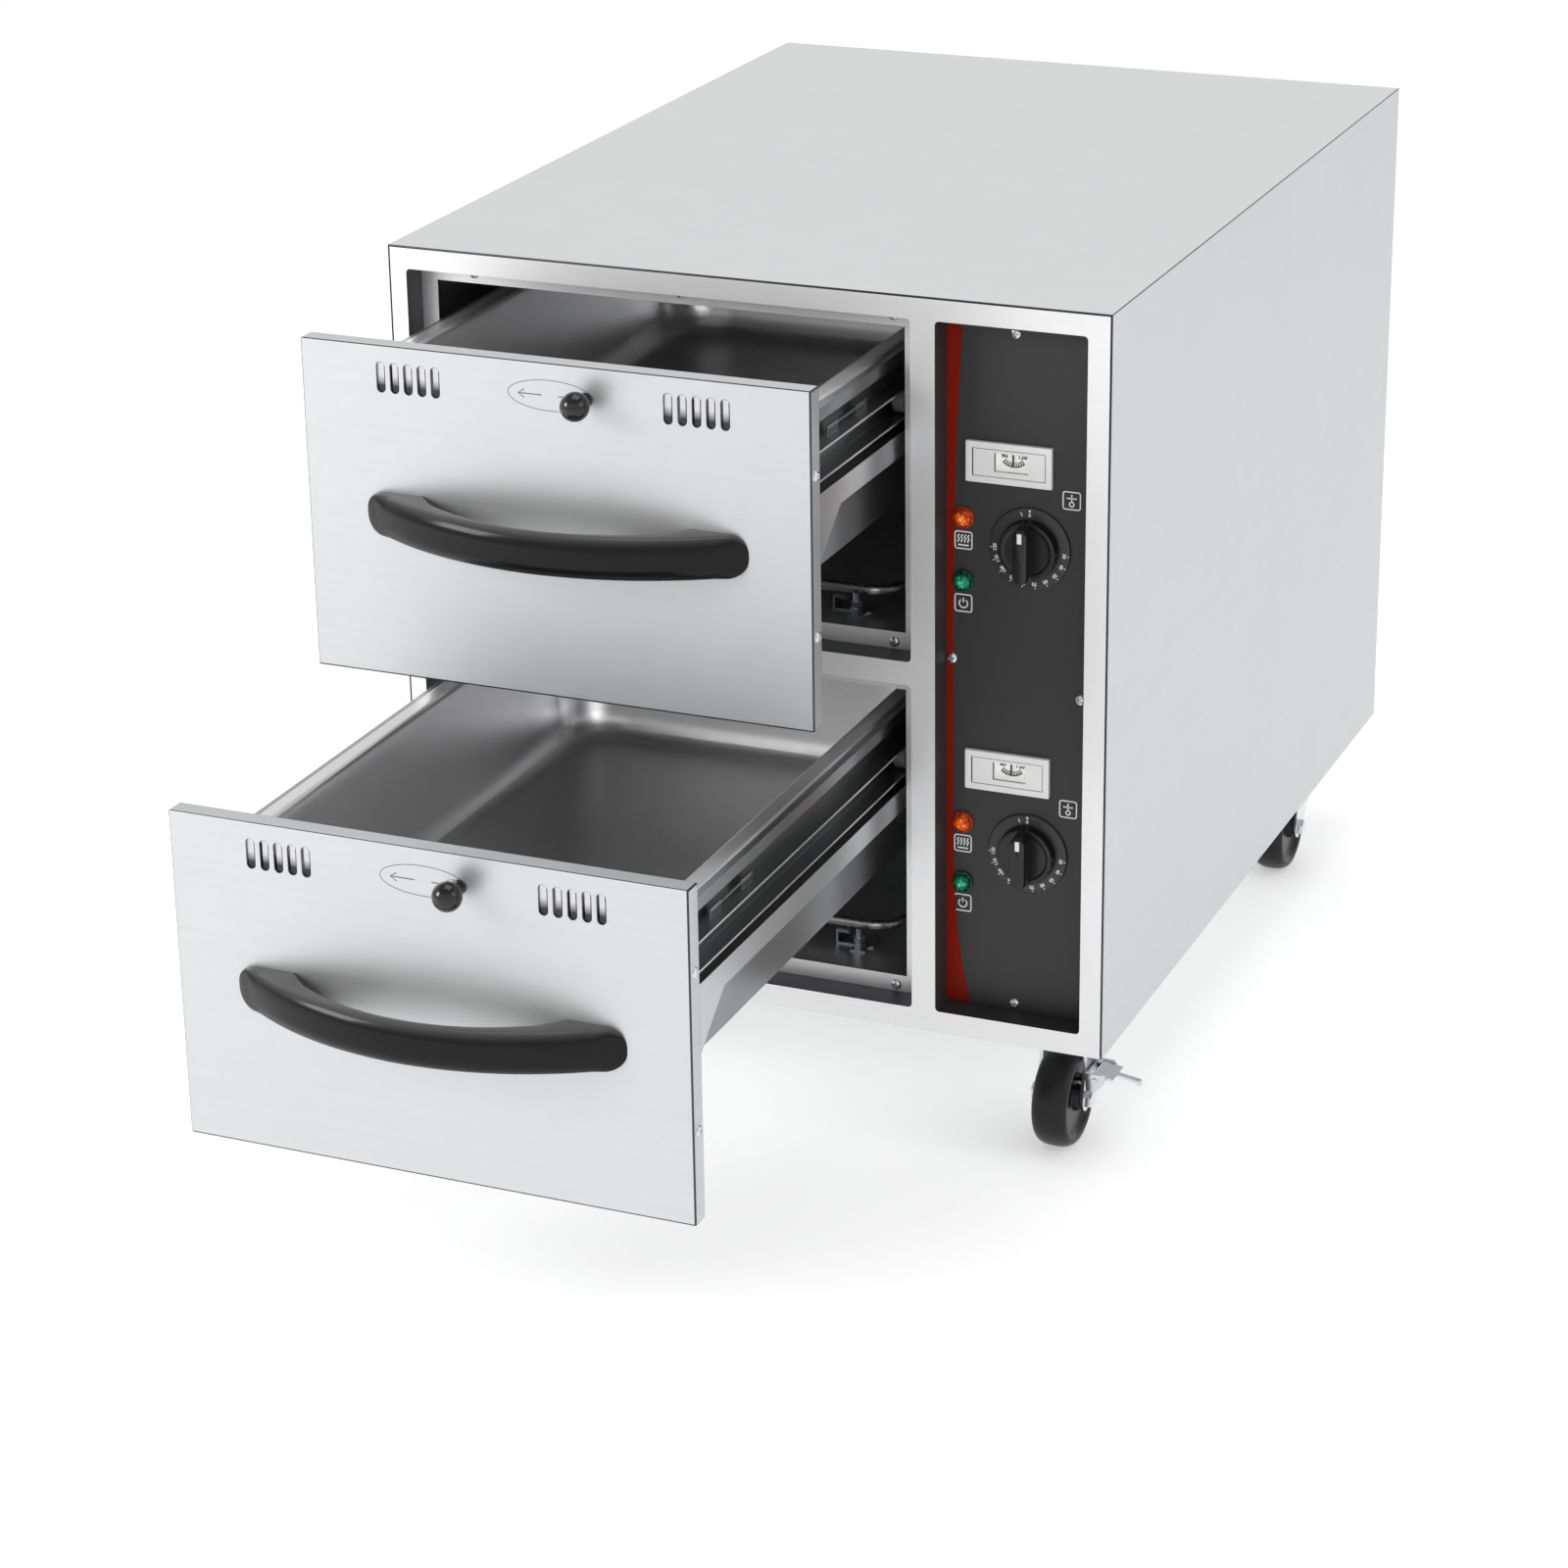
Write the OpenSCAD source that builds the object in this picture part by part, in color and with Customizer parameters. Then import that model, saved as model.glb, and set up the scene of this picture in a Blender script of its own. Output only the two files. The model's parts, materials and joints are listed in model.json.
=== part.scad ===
// Two-drawer warming cabinet on swivel casters.
// Origin: floor level, centre of the footprint. +Y runs to the back, +Z up.

/* [Cabinet] */
// Depth of the cabinet from front face to back face
cabinet_d = 730; // [720:1:800]
// Height of the cabinet without its casters
cabinet_h = 545; // [530:1:620]
// Thickness of the casing sheet
sheet = 1.2; // [1:0.1:1.6]
// Width of the front frame at the left of the drawers
stile_left = 14; // [12:1:20]
// Width of the front frame between drawers and controls
stile_mid = 18; // [17:1:24]
// Width of the front frame at the right of the controls
stile_right = 17; // [12:1:24]
// Width of the control opening
control_w = 109; // [104:1:125]
// Height of the front frame above the upper drawer
rail_top = 16.5; // [14:0.5:24]
// Height of the front frame between the drawers
rail_mid = 17.5; // [16:0.5:24]
// Height of the front frame below the lower drawer
rail_bottom = 17; // [14:0.5:24]
// Depth of the turned-in edges of the front frame
frame_depth = 23; // [20:1:26]
// Corner radius of the front openings
opening_r = 3; // [2:0.5:5]

/* [Liners] */
// Sheet thickness of the heated bays
liner_t = 1; // [0.8:0.1:1.2]
// Room between an opening's edge and the bay wall beside it
liner_side = 6; // [5:0.5:6]
// Room between an opening's edge and the bay floor or roof
liner_over = 4.5; // [4:0.5:5]
// Width of the flange round a bay's mouth
liner_lip = 12.5; // [11:0.5:13]
// Room behind the bays for insulation
liner_back = 34; // [28:1:40]
// Running gap round insulation slabs
pad_gap = 0.3; // [0.2:0.1:0.5]

/* [Drawer fronts] */
// How far the lower drawer stands open
lower_open = 370; // [300:1:390]
// How far the upper drawer stands open
upper_open = 163; // [100:1:250]
// Gap at each side of a drawer front
front_gap_x = 5; // [4:0.5:6]
// Gap above and below a drawer front
front_gap_z = 6; // [5:0.5:7]
// Depth of a drawer front's folded edge
front_depth = 15; // [13:1:17]
// Width of one vent slot
slot_w = 6.2; // [5:0.1:7]
// Height of one vent slot
slot_h = 21; // [16:0.5:24]
// Distance from slot to slot
slot_pitch = 10.2; // [10:0.1:12]
// Slots in each group
slots = 5; // [3:1:5]
// Distance of a slot group's middle from the drawer's middle
slot_group_x = 105.5; // [100:0.5:112]
// Depth of the slots' middle below the top edge
slot_drop = 22; // [20:0.5:25]
// Thickness of the vent shutter
shutter_t = 1; // [0.8:0.1:1.2]
// Diameter of the vent shutter's ball knob
ball_d = 20; // [16:0.5:22]
// Height of the ball's centre in front of the drawer
ball_reach = 17; // [15:0.5:20]
// Distance of the ball from the drawer's middle
ball_x = 26; // [20:0.5:30]

/* [Handles] */
// Length of a handle
handle_w = 282; // [260:1:290]
// Height of a handle
handle_h = 30; // [24:1:32]
// How far a handle stands out
handle_reach = 48; // [42:1:55]
// Thickness of the grip
handle_t = 14; // [12:0.5:16]
// Width of each foot of the handle
handle_foot = 42; // [36:1:46]
// Radius of the grip's long edges
handle_edge = 6; // [4:0.5:6.5]

/* [Drawer boxes] */
// Length of the food pan over its rim
pan_l = 530; // [520:1:530]
// Width of the food pan over its rim, which sets the cabinet's width
pan_w = 325; // [300:1:360]
// Depth of the food pan
pan_depth = 100; // [65:1:105]
// Width of the pan's rim
pan_rim = 12.5; // [11.5:0.5:13]
// Sheet thickness of the pan
pan_t = 1; // [0.8:0.1:1.2]
// Corner radius of the pan's body
pan_r = 52; // [40:1:60]
// Depth of the box's rim below the drawer front's top
rim_drop = 30; // [28:1:34]
// Width of the box's rim
rim_w = 8; // [7:0.5:8]
// Depth of the box from its rim
box_depth = 115; // [110:1:120]
// Sheet thickness of the box
box_t = 1; // [0.8:0.1:1.2]

/* [Slides] */
// Depth of the slide's top edge below the drawer front's top
rail_drop = 54; // [50:0.5:56]
// How far the drawer's slide stands out from the box
rail_out = 14; // [13:0.5:14.5]
// Sheet thickness of the slides
rail_t = 1.5; // [1.2:0.1:1.6]
// Diameter of the slide rollers
roller_d = 18; // [16:0.5:18.5]
// Width of the slide rollers
roller_w = 9; // [8:0.5:9.5]
// Width of the bay's fixed slide
fixed_w = 19.5; // [19:0.5:24]
// Diameter of the roller pins
roller_pin_d = 6; // [5:0.5:7]
// Height of the slide's lower box section
rail_foot = 17; // [15:0.5:20]
// Height of the gusset below the slide
gusset_h = 50; // [40:1:55]
// Length of the gusset along the slide
gusset_l = 64; // [50:1:70]
// Distance of the front rollers behind the front face
front_roller_y = 42; // [40:1:46]
// Gap between a roller and the slide it runs in
roller_gap = 0.3; // [0.2:0.1:0.5]
// Radial running clearance of turning parts
run_gap = 0.05; // [0.03:0.01:0.08]

/* [Controls] */
// Thickness of the control panel
panel_t = 1.5; // [1.2:0.1:2]
// Height of the lower controls' dial above the cabinet's underside
dial_z = 140.5; // [135:0.5:146]
// Distance from the lower controls to the upper controls
module_pitch = 227; // [222:0.5:232]
// Distance of the dials from the control opening's left edge
dial_x = 61.5; // [58:0.5:64]
// Diameter of the numbered dial ring
dial_d = 59; // [54:0.5:62]
// Thickness of the dial ring
dial_t = 2; // [1.5:0.1:2.5]
// Diameter of the thermostat knob
knob_d = 43; // [38:0.5:46]
// Thickness of the knob's round skirt
knob_skirt = 7; // [5:0.5:8]
// Height of the knob over the dial ring
knob_h = 21; // [18:0.5:24]
// Width of the knob's grip bar
knob_bar = 12; // [9:0.5:14]
// Diameter of the thermostat shaft
shaft_d = 6; // [5:0.1:6.5]
// Distance of the lamps from the control opening's left edge
lamp_x = 12.7; // [12:0.1:14]
// Diameter of an indicator lamp's lens
lamp_d = 15.5; // [14:0.5:17]
// Height of the orange lamps over the dial's middle
heat_lamp_dz = 17; // [15:0.5:19]
// Depth of the green lamps under the dial's middle
power_lamp_dz = 29; // [27:0.5:31]
// Width of a thermometer
gauge_w = 62.4; // [60:0.1:64]
// Height of a thermometer
gauge_h = 29; // [27:0.5:31]
// Distance of the thermometers from the control opening's left edge
gauge_x = 46.3; // [45:0.1:48]
// Height of the thermometers over the dial's middle
gauge_dz = 59; // [57:0.5:61]
// Width of a thermometer's window
window_w = 24.5; // [22:0.5:26]
// Height of a thermometer's window
window_h = 13.5; // [12:0.5:15]
// Mean width of the coloured stripe
stripe_w = 6; // [5:0.5:7]

/* [Casters] */
// Height of the casters from floor to cabinet
caster_h = 97; // [95:0.5:104]
// Diameter of the wheels
wheel_d = 75; // [72:0.5:76]
// Width of the wheels
wheel_w = 27; // [25:0.5:28]
// Distance of the swivel axes from the cabinet's side wall
caster_side = 46; // [45:1:60]
// Distance of the front swivel axes from the front face
caster_front = 80; // [78:1:110]
// Distance of the rear swivel axes from the back face
caster_rear = 101; // [70:1:120]
// Offset of the wheel from its swivel axis
caster_trail = 28; // [25:1:30]
// Diameter of the wheel axle
axle_d = 8; // [7:0.5:9]
// Length of the brake pedal outside its hinge
pedal_l = 30; // [26:1:36]

/* [Hidden] */

$fn = 48;
eps = 0.01;             // overlap of cutting tools past a face
seam = 0.3;             // gap of a seam between two sheets
lower = 0;              // index of the lower drawer
upper = 1;              // index of the upper drawer

// colours
steel = [0.80, 0.81, 0.82];
inner_steel = [0.56, 0.57, 0.58];
dark_steel = [0.42, 0.43, 0.44];
zinc = [0.72, 0.73, 0.74];
black = [0.07, 0.07, 0.07];
charcoal = [0.19, 0.19, 0.20];
wool = [0.87, 0.82, 0.62];
orange = [0.95, 0.45, 0.05];
green = [0.05, 0.55, 0.35];
ivory = [0.93, 0.93, 0.91];
red = [0.78, 0.16, 0.10];

// cabinet
pan_seat = 3.5;         // overlap of the pan's rim on the box's rim at each side
box_in_w = pan_w - 2 * pan_seat;
box_out_w = box_in_w + 2 * box_t;
slide_gap = 2.5;        // room between a drawer's slide and the fixed slide
rail_side = box_out_w / 2 + rail_out;
opening_w = 2 * (rail_side + slide_gap + fixed_w + liner_t - liner_side);
cabinet_w = stile_left + opening_w + stile_mid + control_w + stile_right;
opening_h = (cabinet_h - rail_top - rail_mid - rail_bottom) / 2;
bay_x = -cabinet_w / 2 + stile_left + opening_w / 2;
control_left = cabinet_w / 2 - stile_right - control_w;
control_x = control_left + control_w / 2;
control_z = caster_h + rail_bottom;
control_h = cabinet_h - rail_top - rail_bottom;
skin_x = cabinet_w / 2 - sheet;
roof_z = caster_h + cabinet_h;
gland_out = 16;         // how far the cable gland stands out at the back
gland_bore = 9;         // bore for the mains cable
reach_front = lower_open + handle_reach;
reach_back = cabinet_d + gland_out;
front_y = -(reach_back - reach_front) / 2;

// floor height of each opening
function opening_z(i) = caster_h + rail_bottom + i * (opening_h + rail_mid);
function is_open(i) = i == upper ? upper_open : lower_open;

// bays
liner_w = opening_w + 2 * liner_side;
liner_h = opening_h + 2 * liner_over;
liner_end = cabinet_d - liner_back;
lip_w = opening_w - 2 * liner_lip;
lip_h = opening_h - 2 * liner_lip;
divider_x = control_left - liner_side / 2;

// drawer fronts, measured from the middle of the top edge of the front face
front_w = opening_w - 2 * front_gap_x;
front_h = opening_h - 2 * front_gap_z;
hem = 12;               // width of the hem behind a front's folded edge
shutter_w = 2 * slot_group_x + slots * slot_pitch + 8;
shutter_h = slot_h + 10;
shutter_y = sheet + 0.2;
shutter_travel = slot_pitch / 2;
guide_w = 3;            // width of the shutter's guide strips
guide_gap = 0.3;        // clearance of the shutter in its guides
stud_d = 7;             // neck of the ball knob
screw_d = 4;
screw_head_d = 8;
screw_head_h = 2;
side_screw_drops = [59, 170];

// handle: an arc in plan through both ends and the middle
handle_r = (pow(handle_w / 2, 2) + pow(handle_reach, 2)) / (2 * handle_reach);
handle_arc_y = handle_r - handle_reach;
handle_z = -front_h / 2;
handle_screw_x = handle_w / 2 - handle_foot / 2 - 3;
handle_screw_l = 14;

// drawer box and pan
box_front = front_depth + 1 + rim_w;
box_in_l = pan_l - 4 * pan_seat;
box_out_l = box_in_l + 2 * box_t;
box_mid_y = box_front + box_out_l / 2;
pan_taper = 12;         // draft of the pan's wall over its depth
pan_floor_r = 14;       // height of the pan's lower bevel

// slides, measured outwards from the bay's middle
box_side = box_out_w / 2;
channel_h = roller_d + 2 * roller_gap;
channel_z = -rail_drop - rail_t - channel_h / 2;
latch_d = 2;            // wire between the two tabs of a slide
rail_groove = 8;        // height of the groove between slide and lower section
rail_foot_z = -rail_drop - 2 * rail_t - channel_h - rail_groove;
rail_l = box_out_l + 2 * rim_w + 8;
wall_side = liner_w / 2 - liner_t;
fixed_side = rail_side + slide_gap;
fixed_y = frame_depth + liner_t + 3;
rear_roller_y = front_depth + rail_l - 12;
fixed_l = rear_roller_y + roller_d - fixed_y;
bore_d = roller_pin_d + 2 * run_gap;
front_roller_x = rail_side - roller_w / 2 - 1;
rear_roller_x = fixed_side + fixed_w / 2 - 0.5;

// controls
panel_y = frame_depth;
window_dx = 1.8;        // window's offset in the thermometer
window_dz = 0.8;
gauge_bezel = 3;        // how far a thermometer stands out
gauge_depth = 18;       // depth of a thermometer's case
gauge_wall = 1.5;
gauge_rim = 1.5;        // height of a thermometer's bezel beyond its case
needle_l = 11.5;
needle_top = 8;         // needle pivot above the window's middle
needle_hub_d = 3;
needle_y = 1;           // needle behind the control panel's face
card_y = 3;             // scale card behind the needle
card_gap = 1;           // room above and below the card
case_w = gauge_w - 10;  // the case behind the bezel
case_h = gauge_h - 2 * gauge_rim;
glass_t = 1;
dial_hole_d = 10;
thermostat_w = 36;
thermostat_d = 30;
neck_l = 6;             // threaded neck behind the control panel
bulb_d = 6;
bulb_l = 80;
tube_d = 2;
bulb_side = wall_side - bulb_d / 2 - 3;
bulb_y = panel_y + panel_t + neck_l + thermostat_d / 2;

// heating elements
rod_d = 8;
rod_bend = 26;
rod_half = opening_w / 2 - 51;      // half the width of the element's loop
rod_front = 100;        // front run behind the front face
rod_lift = 15;          // rod above the bay's floor
bracket_half = rod_half - 30;
bracket_w = 30;
bracket_d = 16;
bracket_t = 1.5;
stud_l = 18;            // stud beside each bracket

// casters
plate_t = 2.5;
plate_w = 76;
plate_l = 64;
race_d = 46;
nut_d = 10;
fork_t = 2.5;
fork_in = wheel_w / 2 + 2;
fork_out = fork_in + fork_t;
fork_top = wheel_d + 7;
kingpin_d = 10;
pedal_w = 24;
pedal_neck = 13;        // reach of the pedal's wide part
pedal_tip_w = 5;        // width of the narrow toe beyond it
pedal_t = 2;
hinge_d = 8;
hinge_pin_d = 4;
hinge_x = fork_out + 7;
hinge_y = -caster_trail + 10;
hinge_z = wheel_d / 2 + 17.5;
pedal_drop = 9;         // slope of the pedal in degrees
web_x = wheel_w / 2 - 4;    // side face of the wheel's web
tongue_y = [hinge_y - 2, hinge_y + 6];
tongue_z = [hinge_z - 8.5, hinge_z - 5.5];
nut_h = 4;
bolt_top = caster_h + sheet + nut_h + 2;

// ---- helpers ----

// Everything is placed from the cabinet's front face.
module from_front() translate([0, front_y, 0]) children();

// Frame of one drawer: middle of its front's top edge.
module in_drawer(i) {
    from_front()
        translate([bay_x, -is_open(i), opening_z(i) + opening_h - front_gap_z])
            children();
}

// Frame of one closed bay: same point with the drawer pushed in.
module in_bay(i) {
    from_front()
        translate([bay_x, 0, opening_z(i) + opening_h - front_gap_z]) children();
}

// Frame of one caster: floor point under its swivel axis.
module at_caster(side, rear) {
    y = rear ? cabinet_d - caster_rear : caster_front;
    from_front() translate([side * (cabinet_w / 2 - caster_side), y, 0]) children();
}

// Frame of one control module: dial centre on the control panel's face.
module at_dial(i) {
    from_front()
        translate([control_left + dial_x, panel_y, caster_h + dial_z + i * module_pitch])
            children();
}

// Box from two corners.
module span(a, b) translate(a) cube(b - a);

// Mirrored pair about the drawer's middle.
module both_sides() {
    children();
    mirror([1, 0, 0]) children();
}

// Upright outline turned to run backwards: x stays, y becomes z.
module upright(depth) rotate([90, 0, 0]) mirror([0, 0, 1]) linear_extrude(depth) children();

// Rectangle with round corners, lower left corner at the origin.
module round_rect(w, h, r) {
    translate([r, 0]) square([w - 2 * r, h]);
    translate([0, r]) square([w, h - 2 * r]);
    for (x = [r, w - r], z = [r, h - r]) translate([x, z]) circle(r);
}

// Slot with round ends, upright, centred.
module obround(w, h) {
    square([w, h - w], center = true);
    for (s = [-1, 1]) translate([0, s * (h - w) / 2]) circle(w / 2);
}

// Round bar along Y from a face at y = 0.
module rod_y(d, l) rotate([-90, 0, 0]) cylinder(d = d, h = l);

// Pan-head screw whose head sits on y = 0 and whose shank runs along +Y.
module screw_y(shank) {
    rod_y(screw_d, shank);
    translate([0, -screw_head_h, 0]) rotate([-90, 0, 0])
        cylinder(d1 = screw_head_d - 2, d2 = screw_head_d, h = screw_head_h);
}

// ---- cabinet ----

module outer_casing() color(steel) from_front() difference() {
    span([-cabinet_w / 2, 0, caster_h], [cabinet_w / 2, cabinet_d, roof_z]);
    span([-skin_x, -1, caster_h - 1], [skin_x, cabinet_d + 1, roof_z - sheet]);
}

// Rectangles of the three openings: left, bottom, width, height.
openings = [
    [bay_x - opening_w / 2, opening_z(lower), opening_w, opening_h],
    [bay_x - opening_w / 2, opening_z(upper), opening_w, opening_h],
    [control_left, control_z, control_w, control_h]
];

module opening_outline(o, grow = 0)
    translate([o[0] - grow, o[1] - grow])
        round_rect(o[2] + 2 * grow, o[3] + 2 * grow, opening_r + grow);

// screws of a bay's flange and of the control panel
screw_in = 5;           // distance of a screw from the opening's edge
liner_screw_xs = [42 - opening_w / 2, 11, opening_w / 2 - 21];
control_screws = [
    [control_w / 2 - 4.5, control_h - 9.5], [control_w / 2 - 2.5, screw_in],
    [4.2, control_h / 2 + 7.25], [control_w - 10, control_h / 2 - 11.75]
];

module front_frame() color(steel) from_front() difference() {
    union() {
        span([-skin_x + seam, 0, caster_h + seam],
             [skin_x - seam, sheet, roof_z - sheet - seam]);
        for (o = openings) upright(frame_depth) opening_outline(o, sheet);
    }
    for (o = openings) translate([0, -1, 0]) upright(frame_depth + 2) opening_outline(o);
}

module back_panel() color(steel) from_front() {
    z0 = caster_h + seam;
    vents = 6;
    vent_pitch = 12;
    difference() {
        span([-skin_x + seam, cabinet_d - sheet, z0],
             [skin_x - seam, cabinet_d, roof_z - sheet - seam]);
        for (k = [0:vents - 1])
            translate([control_x, cabinet_d - sheet - 1, roof_z - 60 - k * vent_pitch])
                rotate([0, 90, 0]) upright(sheet + 2) obround(5, 70);
        translate([control_x, cabinet_d - sheet - 1, control_z + 60])
            rod_y(gland_thread + 2 * seam, sheet + 2);
    }
}

gland_thread = 16;      // diameter of the gland's threaded part

module base_pan() color(steel) from_front() difference() {
    span([-skin_x + seam, sheet + seam, caster_h],
         [skin_x - seam, cabinet_d - sheet - seam, caster_h + sheet]);
    for (s = [-1, 1], y = [caster_front, cabinet_d - caster_rear])
        translate([s * (cabinet_w / 2 - caster_side), y, caster_h - 1])
            caster_bolts(screw_d + 2, sheet + 2);
}

// Four upright bars at a caster plate's corners.
module caster_bolts(d, h)
    for (x = [-1, 1], y = [-1, 1])
        translate([x * (plate_w / 2 - 9), y * (plate_l / 2 - 9), 0]) cylinder(d = d, h = h);

module bay_liner(i) color(inner_steel) from_front() {
    x0 = bay_x - liner_w / 2;
    z0 = opening_z(i) - liner_over;
    difference() {
        span([x0, frame_depth, z0], [x0 + liner_w, liner_end, z0 + liner_h]);
        span([x0 + liner_t, frame_depth + liner_t, z0 + liner_t],
             [x0 + liner_w - liner_t, liner_end - liner_t, z0 + liner_h - liner_t]);
        translate([bay_x - lip_w / 2, frame_depth - 1, opening_z(i) + liner_lip])
            cube([lip_w, liner_t + 2, lip_h]);
        for (x = liner_screw_xs)
            translate([bay_x + x, frame_depth - 1, opening_z(i) + opening_h - screw_in])
                rod_y(screw_d + 0.2, liner_t + 2);
        translate([bay_x + liner_screw_xs[2], frame_depth - 1, opening_z(i) + screw_in])
            rod_y(screw_d + 0.2, liner_t + 2);
        in_liner_tube(i) cylinder(d = tube_d + 1, h = 4 * liner_side, center = true);
        for (s = [-1, 1])
            translate([bay_x + s * rod_half, liner_end - 2, z0 + liner_t + rod_lift])
                rod_y(rod_d + 0.4, 4);
    }
}

// Axis of the capillary tube where it crosses a bay's wall.
module in_liner_tube(i)
    translate([bay_x + liner_w / 2, bulb_y, tube_z(i)]) rotate([0, 90, 0]) children();

function tube_z(i) = caster_h + dial_z + i * module_pitch;

module upper_liner() bay_liner(upper);
module lower_liner() bay_liner(lower);

module divider_wall() color(dark_steel) from_front() difference() {
    span([divider_x, frame_depth + panel_t + 1, caster_h + sheet],
         [divider_x + sheet, cabinet_d - sheet - seam, roof_z - sheet - seam]);
    for (i = [lower, upper])
        translate([divider_x, bulb_y, tube_z(i)]) rotate([0, 90, 0])
            cylinder(d = tube_d + 1, h = 6, center = true);
}

module insulation() color(wool) from_front() {
    g = pad_gap;
    left = bay_x - liner_w / 2;
    right = bay_x + liner_w / 2;
    y0 = frame_depth + liner_t + 4;
    z_low = opening_z(lower) - liner_over;
    z_mid = z_low + liner_h;
    z_top = opening_z(upper) - liner_over + liner_h;
    span([-skin_x + g, y0, z_low], [left - g, liner_end, z_top]);
    span([left, y0, z_top + g], [right, liner_end, roof_z - sheet - g]);
    span([left, y0, z_mid + g], [right, liner_end, opening_z(upper) - liner_over - g]);
    difference() {
        span([left, y0, caster_h + sheet + g], [right, liner_end, z_low - g]);
        for (s = [-1, 1], y = [caster_front, cabinet_d - caster_rear])
            translate([s * (cabinet_w / 2 - caster_side), y, caster_h])
                caster_bolts(nut_d + 4, bolt_top - caster_h + 1);
    }
    difference() {
        span([left, liner_end + g, z_low], [right, cabinet_d - sheet - g, z_top]);
        for (i = [lower, upper], s = [-1, 1])
            translate([bay_x + s * rod_half, liner_end,
                       opening_z(i) - liner_over + liner_t + rod_lift])
                rod_y(rod_d + 4, liner_back);
    }
}

// ---- control panel ----

module control_panel() color(charcoal) from_front() difference() {
    span([control_left - 4, panel_y, control_z - 4],
         [control_left + control_w + 4, panel_y + panel_t, control_z + control_h + 4]);
    for (s = control_screws)
        translate([control_left + s[0], panel_y - 1, control_z + s[1]])
            rod_y(screw_d + 0.2, panel_t + 2);
    for (i = [lower, upper]) translate([control_left, panel_y - 1, tube_z(i)]) {
        translate([dial_x, 0, 0]) rod_y(dial_hole_d + 0.4, panel_t + 2);
        translate([lamp_x, 0, heat_lamp_dz]) rod_y(lamp_thread + 0.4, panel_t + 2);
        translate([lamp_x, 0, -power_lamp_dz]) rod_y(lamp_thread + 0.4, panel_t + 2);
        translate([gauge_x - case_w / 2 - seam, 0, gauge_dz - case_h / 2 - seam])
            cube([case_w + 2 * seam, panel_t + 2, case_h + 2 * seam]);
    }
}

lamp_thread = 11;       // diameter of a lamp's threaded body
lamp_body_l = 18;       // length of a lamp's body behind the control panel
lamp_rim = 2.5;         // straight edge of a lamp's lens
lamp_dome = 4;          // depth of the dome's centre below its edge

// Stripe along the panel's left edge: wide at the top, slim in the middle, flared at the foot.
module panel_stripe() color(red) from_front() {
    t = 0.4;
    top = control_h - 1;
    z = [0, 0.05, 0.13, 0.24, 0.6, 0.8, 0.9, 1];
    w = [18, 12, 7.2, 5, 5, 6.6, 8.8, 11.5];
    k = stripe_w / 6;
    translate([control_left + 0.1, panel_y - t, control_z + 0.5]) upright(t) difference() {
        intersection() {
            polygon(concat([[0, 0]], [for (n = [0:len(z) - 1]) [w[n] * k, z[n] * top]],
                           [[0, top]]));
            round_rect(control_w, top, opening_r);
        }
        translate([control_screws[2][0], control_screws[2][1]]) circle(d = screw_head_d + 1);
        for (i = [lower, upper], dz = [heat_lamp_dz, -power_lamp_dz])
            translate([lamp_x - 0.1, tube_z(i) - control_z + dz - 0.5])
                circle(d = lamp_d + 1);
    }
}

module thermometer_cases() color(ivory) for (i = [lower, upper]) at_dial(i)
    translate([gauge_x - dial_x, 0, gauge_dz]) difference() {
        union() {
            span([-gauge_w / 2, -gauge_bezel, -gauge_h / 2], [gauge_w / 2, 0, gauge_h / 2]);
            span([-case_w / 2, -eps, -case_h / 2], [case_w / 2, gauge_depth, case_h / 2]);
        }
        difference() {
            span([-case_w / 2 + gauge_wall, 0, -case_h / 2 + gauge_wall],
                 [case_w / 2 - gauge_wall, gauge_depth - gauge_wall, case_h / 2 - gauge_wall]);
            span([-case_w / 2, card_y, -case_h / 2 + gauge_wall + card_gap],
                 [case_w / 2, card_y + 1, case_h / 2 - gauge_wall - card_gap]);
        }
        translate([window_dx, card_y - 1, window_dz + needle_top]) rod_y(2.5, 3);
        translate([window_dx - window_w / 2, -gauge_bezel - 1, window_dz - window_h / 2])
            cube([window_w, gauge_bezel + 2, window_h]);
        translate([window_dx, gauge_depth - gauge_wall - 1, window_dz + needle_top])
            rod_y(1.5, gauge_wall + 2);
    }

module thermometer_windows() color([0.8, 0.85, 0.9, 0.4])
    for (i = [lower, upper]) at_dial(i)
        translate([gauge_x - dial_x + window_dx, -glass_t - 0.5, gauge_dz + window_dz])
            translate([-window_w / 2, 0, -window_h / 2]) cube([window_w, glass_t, window_h]);

// Needle with its hub and the spindle that turns in the case's back wall.
module needle(i) color(black) at_dial(i)
    translate([gauge_x - dial_x + window_dx, 0, gauge_dz + window_dz + needle_top]) {
        translate([0, needle_y, 0]) {
            rod_y(1.5 - 2 * run_gap, gauge_depth + 0.5 - needle_y);
            translate([-0.5, 0, -needle_l]) cube([1, 1, needle_l]);
            rod_y(needle_hub_d, 1);
        }
    }

module upper_needle() needle(upper);
module lower_needle() needle(lower);

// Domed lens, threaded body and nut of an indicator lamp.
module lamp(x, dz, i) at_dial(i) translate([x, 0, dz]) {
    rotate([90, 0, 0]) rotate_extrude() {
        square([lamp_d / 2, lamp_rim]);
        intersection() {
            translate([0, lamp_rim - lamp_dome]) circle(lamp_d / 2 + 0.1);
            translate([0, lamp_rim - 0.1]) square([lamp_d / 2, lamp_d / 2]);
        }
    }
    rod_y(lamp_thread, lamp_body_l);
    translate([0, panel_t, 0]) difference() {
        rod_y(lamp_thread + 5, 3);
        translate([0, -1, 0]) rod_y(lamp_thread + 0.2, 5);
    }
}

module heat_lamps() color(orange)
    for (i = [lower, upper]) lamp(lamp_x - dial_x, heat_lamp_dz, i);

module power_lamps() color(green)
    for (i = [lower, upper]) lamp(lamp_x - dial_x, -power_lamp_dz, i);

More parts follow.
